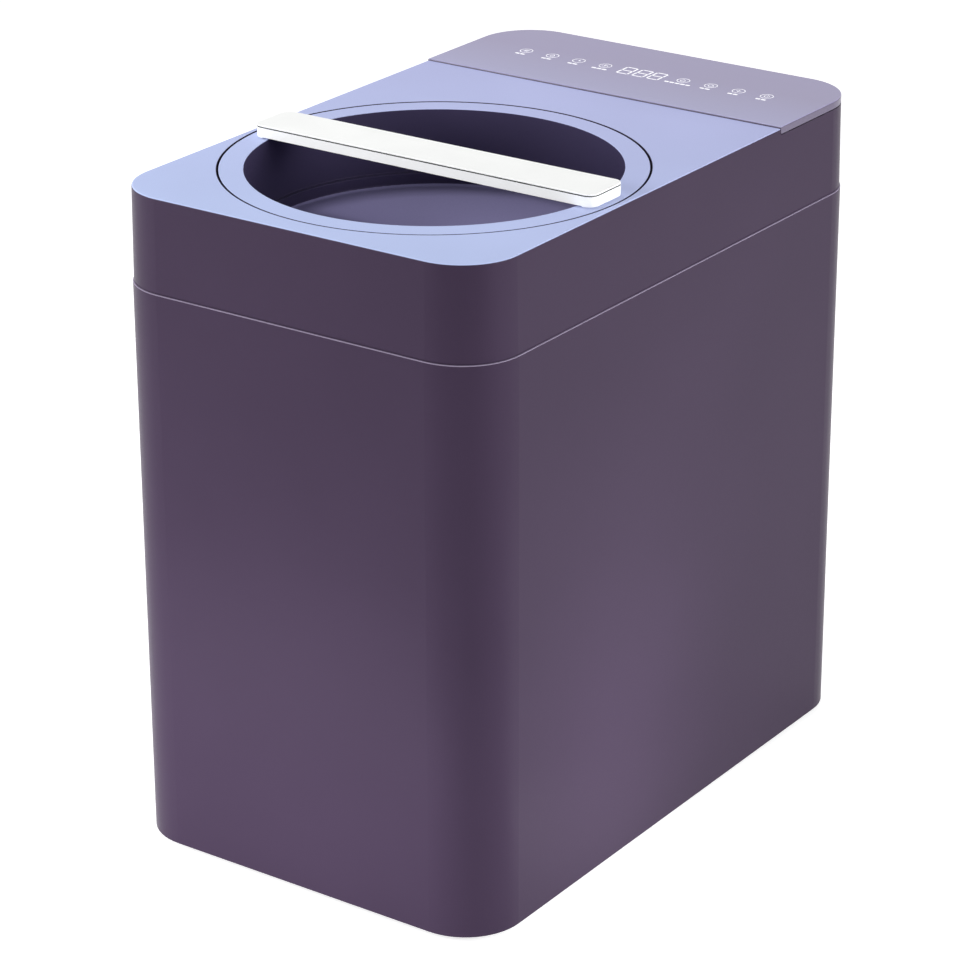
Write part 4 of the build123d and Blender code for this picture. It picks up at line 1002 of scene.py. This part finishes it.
# ---------------------------------------------------------------- housing
@dataclass
class Housing:
    """Two-piece painted housing on its base plate and feet.

    Attributes:
        boss_x: Base screws, from the middle.
        boss_y: End base screws, from the middle.
        seat_z: Seat of the base screws' heads.
        screw: Form of the base screws.
        paint: Finish of the lower housing, with a painted highlight along its seam.
        collar_paint: Finish of the collar and deck.
    """

    boss_x: float = 118.0 * MM
    boss_y: float = 150.0 * MM
    seat_z: float = 5.0 * MM
    screw: ScrewHead = ScrewHead(
        radius=3.4 * MM, height=0.5 * MM, shank_radius=1.55 * MM, length=14.0 * MM,
        recess=1.45 * MM, depth=1.2 * MM,
    )
    # Its band is a painted highlight along the seam under the collar.
    paint: SatinPaint = SatinPaint(painted_light_band=shade(156, 145, 168), painted_light_heights=(344.35 * MM, 344.75 * MM))
    collar_paint: SatinPaint = SatinPaint()

    def build(self) -> None:
        """Dress the shells and put detailed screws under the base."""
        dress("lower_housing", self.paint)
        dress("upper_housing", self.collar_paint)
        dress("base_plate", MouldedPlastic(shade(52, 48, 56), 0.56, 1000.0, 0.05 * MM))
        dress("rubber_feet", Elastomer(shade(34, 34, 36), shade(58, 57, 58)))
        rows = (-self.boss_y, 0.0, self.boss_y)
        places = [(x, y, self.seat_z) for x in (-self.boss_x, self.boss_x) for y in rows]
        screws("base_screws", self.screw, places, "housing", ZINC)


# ---------------------------------------------------------------- lid
@dataclass
class DishLid:
    """Drop-in dish lid with its white cross bar.

    Attributes:
        screw_x: Bar screws, from the axis.
        screw_y: Bar screws, from the middle of the bar.
        under_z: Underside of the lid's ring.
        screw: Form of the bar screws.
        paint: Finish of the dish and ring, with painted light on the floor of the well.
        white: Finish of the bar and its cap, with painted shadow in the groove between them.
    """

    screw_x: float = 111.01 * MM
    screw_y: float = 8.0 * MM
    under_z: float = 397.0 * MM
    screw: ScrewHead = ScrewHead(
        radius=2.3 * MM, height=1.6 * MM, shank_radius=1.55 * MM, length=7.0 * MM,
        recess=1.4 * MM, depth=1.0 * MM,
    )
    # Its band is painted light: the well's floor is painted paler than the well's walls.
    paint: SatinPaint = SatinPaint(
        side=shade(63, 57, 83), painted_light_band=shade(133, 128, 167), painted_light_heights=(353.0 * MM, 355.2 * MM)
    )
    # Its groove is painted shadow between the bar and its cap.
    white: MouldedPlastic = MouldedPlastic(
        (0.96, 0.97, 0.96), 0.36, 1800.0, 0.01 * MM, groove_shadow_heights=(406.1 * MM, 406.8 * MM)
    )

    def build(self) -> None:
        """Dress the lid and put detailed screws under its ring."""
        dress("lid_dish", self.paint)
        dress("handle_bar", self.white)
        dress("handle_cap", self.white)
        dress("lid_seal", GREY_SILICONE)
        dress("lid_magnet", ZINC)
        rows = (LID_Y - self.screw_y, LID_Y + self.screw_y)
        places = [(x, y, self.under_z) for x in (-self.screw_x, self.screw_x) for y in rows]
        screws("handle_screws", self.screw, places, "lid", ZINC)


# ---------------------------------------------------------------- touch panel
@dataclass(frozen=True)
class Sign:
    """Lines of a sign on a touch key, in quarters of its ring's radius.

    Attributes:
        strokes: Both ends of each straight line.
        arcs: Centre, radius, first angle, sweep and number of runs of each bent line.
        dot: Radius of the dot in the middle, or 0.
    """

    strokes: tuple[tuple[Spot, Spot], ...] = ()
    arcs: tuple[tuple[Spot, float, float, float, int], ...] = ()
    dot: float = 0.0


class KeySign(Enum):
    """Plain signs on the touch keys, from left to right."""

    WAVES = Sign(tuple(((-1.7, rise), (1.7, rise)) for rise in (-1.2, 0.0, 1.2)))
    DROP = Sign(
        (((-1.13, 0.15), (0.0, 2.1)), ((1.13, 0.15), (0.0, 2.1))), (((0.0, -0.5), 1.3, 150, 240, 16),)
    )
    CLOCK = Sign((((0.0, 0.0), (0.0, 2.0)), ((0.0, 0.0), (1.5, -0.6))), dot=0.5)
    FAN = Sign(arcs=tuple((polar(1.0, turn), 1.0, turn, 180, 10) for turn in (90, 210, 330)))
    FLAME = Sign(
        (((-1.45, -0.4), (-0.2, 2.1)), ((1.45, -0.4), (0.5, 1.0))), (((0.0, -0.6), 1.5, 170, 200, 14),)
    )
    TURN = Sign(
        (((1.8, -0.7), (1.8, 0.9)), ((0.7, 0.2), (1.9, 0.2))), (((0.0, 0.0), 1.8, 60, 270, 18),)
    )
    PLUS = Sign((((-1.8, 0.0), (1.8, 0.0)), ((0.0, -1.8), (0.0, 1.8))))
    POWER = Sign((((0.0, 0.2), (0.0, 2.2)),), (((0.0, 0.0), 1.7, 125, 290, 20),))


@dataclass
class TouchPanel:
    """Touch panel with its digits, key rings and marks.

    Attributes:
        face_z: Height that the marks lie on.
        key_y: Middle of the key rings.
        key_x: Middle of each ring in millimetres.
        ring_radius: Radius of a ring's middle line.
        ring_steps: Number of runs round a ring.
        line: Width of the thin lines.
        label_y: Middle of the small bars in front of the rings.
        label_bars: Number of small bars by each ring.
        label_pitch: From one small bar to the next.
        label_size: Length and width of a small bar.
        label_point: Length of a small bar's pointed ends.
        digit_x: Middle of each digit in millimetres.
        digit_y: Middle of the digits, front to back.
        digit_size: Width and height of a digit, between the middles of its strokes.
        digit_line: Width of a digit's strokes.
        digit_gap: From the end of a stroke to the middle of the next one.
    """

    face_z: float = 401.11 * MM
    key_y: float = 151.2 * MM
    key_x: tuple[float, ...] = (-84.6, -65.3, -46.0, -26.7, 29.0, 48.3, 67.6, 86.9)
    ring_radius: float = 3.9 * MM
    ring_steps: int = 40
    line: float = 0.45 * MM
    label_y: float = 144.0 * MM
    label_bars: tuple[int, ...] = (2, 2, 2, 3, 5, 2, 2, 2)
    label_pitch: float = 3.7 * MM
    label_size: Spot = (3.4 * MM, 1.7 * MM)
    label_point: float = 0.4 * MM
    digit_x: tuple[float, ...] = (-10.0, 0.9, 11.4)
    digit_y: float = 149.8 * MM
    digit_size: Spot = (7.6 * MM, 13.0 * MM)
    digit_line: float = 1.0 * MM
    digit_gap: float = 0.22 * MM

    def key(self, rings: MarkSheet, signs: MarkSheet, sign: Sign, x: float) -> None:
        """Draw one key's ring, and the sign inside it.

        Args:
            rings: Where to draw the ring.
            signs: Where to draw the sign.
            sign: The sign.
            x: Middle of the ring.
        """
        centre = (x, self.key_y)
        rings.bend(centre, self.ring_radius, self.line, 0, FULL_TURN, self.ring_steps)
        unit = self.ring_radius / 4
        for ends in sign.strokes:
            start, end = [(x + across * unit, self.key_y + up * unit) for across, up in ends]
            signs.stroke(start, end, self.line)
        for (across, up), radius, *sweep in sign.arcs:
            middle = (x + across * unit, self.key_y + up * unit)
            signs.bend(middle, radius * unit, self.line, *sweep)
        if sign.dot:
            signs.dot(centre, sign.dot * unit)

    def label(self, sheet: MarkSheet, bars: int, x: float) -> None:
        """Draw the row of small bars in front of a ring.

        Args:
            sheet: Where to draw.
            bars: Number of bars.
            x: Middle of the row.
        """
        length, width = self.label_size
        for bar in range(bars):
            start = x + self.label_pitch * (bar - (bars - 1) / 2) - length / 2
            sheet.stroke((start, self.label_y), (start + length, self.label_y), width, self.label_point)

    def digit(self, sheet: MarkSheet, centre: Spot) -> None:
        """Draw one digit with all seven strokes.

        Args:
            sheet: Where to draw.
            centre: Middle of the digit.
        """
        half_width, half_height = self.digit_size[0] / 2, self.digit_size[1] / 2
        width, point, gap = self.digit_line, self.digit_line / 2, self.digit_gap
        left, right = centre[0] - half_width, centre[0] + half_width
        for y in (centre[1] - half_height, centre[1], centre[1] + half_height):
            sheet.stroke((left + gap, y), (right - gap, y), width, point)
        for x in (left, right):
            for y in (centre[1] - half_height, centre[1]):
                sheet.stroke((x, y + gap), (x, y + half_height - gap), width, point)

    def build(self) -> None:
        """Dress the panel and lay its marks on it."""
        dress("control_panel", PanelFilm())
        dress("touch_board", BoardLaminate())
        dress("touch_springs", BareMetal(shade(196, 160, 92), shade(150, 120, 72), Lay.TURNED, 0.32))
        dress("display_module", MouldedPlastic(shade(26, 26, 28), 0.3))
        digits, rings, signs, labels = (MarkSheet(self.face_z) for _ in range(4))
        for x in self.digit_x:
            self.digit(digits, (x * MM, self.digit_y))
        for x, sign, bars in zip(self.key_x, KeySign, self.label_bars):
            self.key(rings, signs, sign.value, x * MM)
            self.label(labels, bars, x * MM)
        sheets = {
            "display_digits": digits, "key_rings": rings, "key_signs": signs, "key_label_bars": labels,
        }
        for name, sheet in sheets.items():
            new_piece(name, sheet.mesh, PrintedInk(), "housing")


# ---------------------------------------------------------------- bucket and agitator
@dataclass
class BucketUnit:
    """Lift-out bucket with its shaft seal, agitator and coupler.

    Attributes:
        casting: Finish of the bucket.
        blasted: Finish of the agitator.
    """

    casting: BareMetal = BareMetal(shade(162, 163, 167), shade(143, 143, 147), Lay.TURNED, 0.46, bare=0.75)
    blasted: BareMetal = BareMetal(
        shade(214, 214, 218), shade(186, 185, 186), Lay.BLASTED, 0.42, depth=0.03 * MM
    )

    def build(self) -> None:
        """Dress the bucket and what turns in it."""
        dress("bucket", self.casting)
        dress("bucket_bush", BareMetal(shade(190, 154, 88), shade(146, 116, 70), Lay.TURNED, 0.3))
        dress("shaft_seal", GREY_SILICONE)
        dress("agitator", self.blasted)
        dress("agitator_shaft", BareMetal(shade(178, 178, 182), shade(150, 150, 153), Lay.TURNED, 0.22))
        dress("drive_coupler", BareMetal(shade(128, 126, 124), shade(92, 88, 84), Lay.TURNED, 0.36))


@dataclass
class HeatedWell:
    """Well round the bucket: liner, felt, heater and its sensor.

    Attributes:
        sheet: Finish of the sheet steel.
        felt: Finish of the insulation.
    """

    sheet: BareMetal = BareMetal(shade(164, 165, 170), shade(132, 132, 136), Lay.UPRIGHT, 0.36)
    felt: NeedleFelt = NeedleFelt(shade(204, 200, 188), shade(150, 145, 133))

    def build(self) -> None:
        """Dress the well's layers."""
        dress("well_liner", self.sheet)
        dress("felt_sleeve", self.felt)
        dress("insulation_disc", self.felt)
        dress("heater_plate", BareMetal(shade(158, 158, 160), shade(120, 116, 112), Lay.TURNED, 0.4))
        dress("heating_element", BareMetal(shade(120, 110, 100), shade(96, 74, 62), Lay.BLASTED, 0.5))
        dress("temperature_sensor", BareMetal(shade(170, 170, 172), shade(140, 138, 136), Lay.UPRIGHT, 0.3))
        dress("lid_sensor", DARK_MOULDING)


# ---------------------------------------------------------------- drive
@dataclass
class GearDrive:
    """Gear train, its case and motor, under the chassis plate.

    Attributes:
        output_axis: Upright axis of the output gear.
        idler_axis: Upright axis of the idler.
        motor_axis: Upright axis of the motor.
    """

    output_axis: Spot = (0.0, LID_Y)
    idler_axis: Spot = (0.0, 11.25 * MM)
    motor_axis: Spot = (0.0, 71.25 * MM)

    def machined(self, centre: Spot, roughness: float = 0.3) -> BareMetal:
        """Machined and oiled steel, turned about one axis."""
        return BareMetal(shade(150, 149, 150), shade(104, 98, 92), Lay.TURNED, roughness, centre)

    def build(self) -> None:
        """Dress the drive."""
        dress("chassis_plate", BareMetal(shade(168, 169, 174), shade(138, 138, 142), Lay.ACROSS, 0.36))
        dress("chassis_posts", BareMetal(shade(150, 150, 152), shade(118, 116, 114), Lay.UPRIGHT, 0.34))
        dress("chassis_screws", ZINC)
        casting = BareMetal(
            shade(146, 147, 151), shade(112, 112, 115), Lay.BLASTED, 0.46, depth=0.05 * MM
        )
        dress("gear_case", casting)
        dress("gear_case_screws", ZINC)
        dress("gear_motor", Enamel(shade(60, 62, 68)))
        bronze = BareMetal(shade(184, 142, 84), shade(138, 104, 66), Lay.TURNED, 0.34, self.output_axis)
        dress("output_bearings", bronze)
        for name in ("output_shaft", "output_gear", "drive_dog"):
            dress(name, self.machined(self.output_axis))
        for name in ("idler_gear", "idler_pin"):
            dress(name, self.machined(self.idler_axis))
        for name in ("motor_pinion", "motor_shaft"):
            dress(name, self.machined(self.motor_axis, 0.26))


# ---------------------------------------------------------------- filter drawer, blower and electrics
@dataclass
class FilterDrawer:
    """Rear drawer: louvred cover, tray and carbon cartridge.

    Attributes:
        cover_paint: Finish of the cover.
    """

    cover_paint: SatinPaint = SatinPaint()

    def build(self) -> None:
        """Dress the drawer and the case that it slides in."""
        dress("filter_cover", self.cover_paint)
        dress("filter_tray", MouldedPlastic(shade(64, 62, 68), 0.5))
        dress("filter_cartridge", MouldedPlastic(shade(206, 206, 204), 0.5, 900.0))
        dress("carbon_filter", Granules(shade(30, 30, 31), shade(92, 92, 94)))
        dress("filter_case", DARK_MOULDING)


@dataclass
class AirPath:
    """Blower and duct that draw air from the well.

    Attributes:
        casing: Finish of the blower's scroll.
    """

    casing: MouldedPlastic = DARK_MOULDING

    def build(self) -> None:
        """Dress the blower and the duct."""
        dress("blower_housing", self.casing)
        dress("blower_cover", self.casing)
        dress("impeller", PALE_MOULDING)
        dress("fan_motor", Enamel(shade(70, 72, 78), 0.4))
        dress("exhaust_duct", PALE_MOULDING)


@dataclass
class Electrics:
    """Power inlet and power board.

    Attributes:
        tin: Finish of the plated pins.
    """

    tin: BareMetal = BareMetal(shade(204, 196, 168), shade(170, 160, 130), Lay.ACROSS, 0.28)

    def build(self) -> None:
        """Dress the inlet and the board."""
        dress("power_inlet", MouldedPlastic(shade(36, 35, 38), 0.46))
        dress("inlet_pins", self.tin)
        dress("board_standoffs", self.tin)
        dress("power_board", BoardLaminate())


# ---------------------------------------------------------------- studio
@dataclass(frozen=True)
class SoftBox:
    """Soft lamp that faces a point.

    Attributes:
        name: Name of the lamp.
        place: Where it stands.
        aim: What it faces.
        size: Width and height.
        power: Power in watts.
        reflected: Whether surfaces show its reflection.
    """

    name: str
    place: Point
    aim: Point
    size: Spot
    power: float
    reflected: bool = True

    def hang(self) -> None:
        """Put the lamp in the scene."""
        data = bpy.data.lights.new(self.name, "AREA")
        data.shape = "RECTANGLE"
        data.size, data.size_y = self.size
        data.energy = self.power
        lamp = bpy.data.objects.new(self.name, data)
        lamp.location = self.place
        lamp.rotation_euler = (Vector(self.aim) - Vector(self.place)).to_track_quat("-Z", "Y").to_euler()
        lamp.visible_camera = False
        lamp.visible_glossy = self.reflected
        bpy.context.scene.collection.objects.link(lamp)


@dataclass
class Studio:
    """Pale floor, soft lamps, ambient light and the camera.

    Attributes:
        azimuth: Camera's direction round the object in degrees; 0 is in front.
        elevation: Camera's height above the horizon in degrees.
        roll: Camera's turn about its own line of sight in degrees.
        distance: Distance from the camera to its target.
        target: What the camera faces.
        lens: Focal length in millimetres.
        sensor: Width of the camera's sensor in millimetres.
        clip: Nearest and furthest distance that the camera sees.
        ambient: Strength of the light from all round.
        floor_colour: Colour of the floor.
        floor_glow: Light that the floor seems to give off.
        floor_reach: From the middle of the floor to its edge.
        floor_drop: How far the floor lies below the feet.
        lamps: The soft lamps.
    """

    azimuth: float = 34.916
    elevation: float = 22.951
    roll: float = -0.117
    distance: float = 2.1138
    target: Point = (0.000031, -0.01034, 0.184477)
    lens: float = 131.18
    sensor: float = 36.0
    clip: Spot = (0.05, 50.0)
    ambient: float = 0.43
    floor_colour: Colour = (0.84, 0.84, 0.845)
    floor_glow: float = 0.6
    floor_reach: float = 12.0
    floor_drop: float = 0.05 * MM
    lamps: tuple[SoftBox, ...] = (
        SoftBox("overhead_box", (-0.45, 0.3, 1.75), (0.0, -0.03, 0.4), (0.45, 0.45), 8.0),
        SoftBox("right_box", (2.0, 0.15, 0.62), (0.0, 0.0, 0.2), (1.0, 1.0), 37.0),
        SoftBox("front_left_box", (-1.5, -1.6, 0.85), (0.0, 0.0, 0.3), (1.0, 1.0), 46.5),
        SoftBox("right_foot_strip", (0.25, -0.07, 0.01), (0.126, -0.07, 0.02), (0.03, 0.34), 0.42, False),
        SoftBox("front_foot_strip", (-0.08, -0.44, 0.02), (-0.08, -0.2, 0.03), (0.52, 0.03), 1.0, False),
    )

    def camera(self) -> None:
        """Set up the camera."""
        flat, rise = polar(1.0, self.elevation)
        along, across = polar(flat, self.azimuth)
        back = Vector((across, -along, rise))
        data = bpy.data.cameras.new("studio_camera")
        data.lens = self.lens
        data.sensor_width = self.sensor
        data.clip_start, data.clip_end = self.clip
        camera = bpy.data.objects.new("studio_camera", data)
        turn = back.to_track_quat("Z", "Y").to_matrix().to_4x4()
        tilt = Matrix.Rotation(math.radians(self.roll), 4, "Z")
        camera.matrix_world = Matrix.Translation(Vector(self.target) + back * self.distance) @ turn @ tilt
        bpy.context.scene.collection.objects.link(camera)
        bpy.context.scene.camera = camera

    def bright_rays(self, graph: NodeGraph) -> Socket:
        """Mask of the rays that see the white surroundings.

        Args:
            graph: Tree to build in.

        Returns:
            1 for camera, glossy and transmission rays, else 0.
        """
        path = graph.add("ShaderNodeLightPath").outputs
        seen = graph.calc("MAXIMUM", path["Is Camera Ray"], path["Is Glossy Ray"])
        return graph.calc("MAXIMUM", seen, path["Is Transmission Ray"])

    def floor(self) -> None:
        """Lay the floor, which is clear when seen from beneath."""
        material = bpy.data.materials.new("studio_floor_finish")
        graph = NodeGraph(material)
        mottle = graph.noise(30.0, 3.0)
        colour = graph.tint(self.floor_colour, graph.spread(mottle, 0.985, 1.0))
        plain = graph.add("ShaderNodeBsdfDiffuse", {"Color": colour})
        glow = graph.add("ShaderNodeEmission", {"Color": (1.0, 1.0, 1.0), "Strength": self.floor_glow})
        both = graph.add("ShaderNodeAddShader", {0: plain.outputs[0], 1: glow.outputs[0]})
        lit = graph.add(
            "ShaderNodeMixShader", {0: self.bright_rays(graph), 1: plain.outputs[0], 2: both.outputs[0]}
        )
        beneath = graph.add("ShaderNodeNewGeometry").outputs["Backfacing"]
        clear = graph.add("ShaderNodeBsdfTransparent")
        mixed = graph.add("ShaderNodeMixShader", {0: beneath, 1: lit.outputs[0], 2: clear.outputs[0]})
        graph.add("ShaderNodeOutputMaterial", {"Surface": mixed.outputs[0]})
        mesh = bmesh.new()
        bmesh.ops.create_grid(mesh, x_segments=1, y_segments=1, size=self.floor_reach)
        data = bpy.data.meshes.new("studio_floor")
        mesh.to_mesh(data)
        mesh.free()
        data.materials.append(material)
        plane = bpy.data.objects.new("studio_floor", data)
        plane.location.z = -self.floor_drop
        bpy.context.scene.collection.objects.link(plane)

    def world(self) -> None:
        """Light the object from all round, and show white behind it."""
        world = bpy.data.worlds.new("studio_world")
        graph = NodeGraph(world)
        strength = graph.spread(self.bright_rays(graph), self.ambient, 1.0)
        background = graph.add("ShaderNodeBackground", {"Strength": strength})
        graph.add("ShaderNodeOutputWorld", {"Surface": background.outputs["Background"]})
        bpy.context.scene.world = world

    def build(self) -> None:
        """Set up the whole studio."""
        bpy.context.scene.view_settings.view_transform = "Standard"
        self.camera()
        self.floor()
        self.world()
        for lamp in self.lamps:
            lamp.hang()
        log.info("studio ready")


def main() -> None:
    """Build and dress every sub-assembly, then set up the studio."""
    for unit in (
        Housing(), DishLid(), TouchPanel(), BucketUnit(), HeatedWell(), GearDrive(), FilterDrawer(),
        AirPath(), Electrics(), Studio(),
    ):
        unit.build()
        log.info("finished %s", type(unit).__name__)


if __name__ == "__main__":
    main()
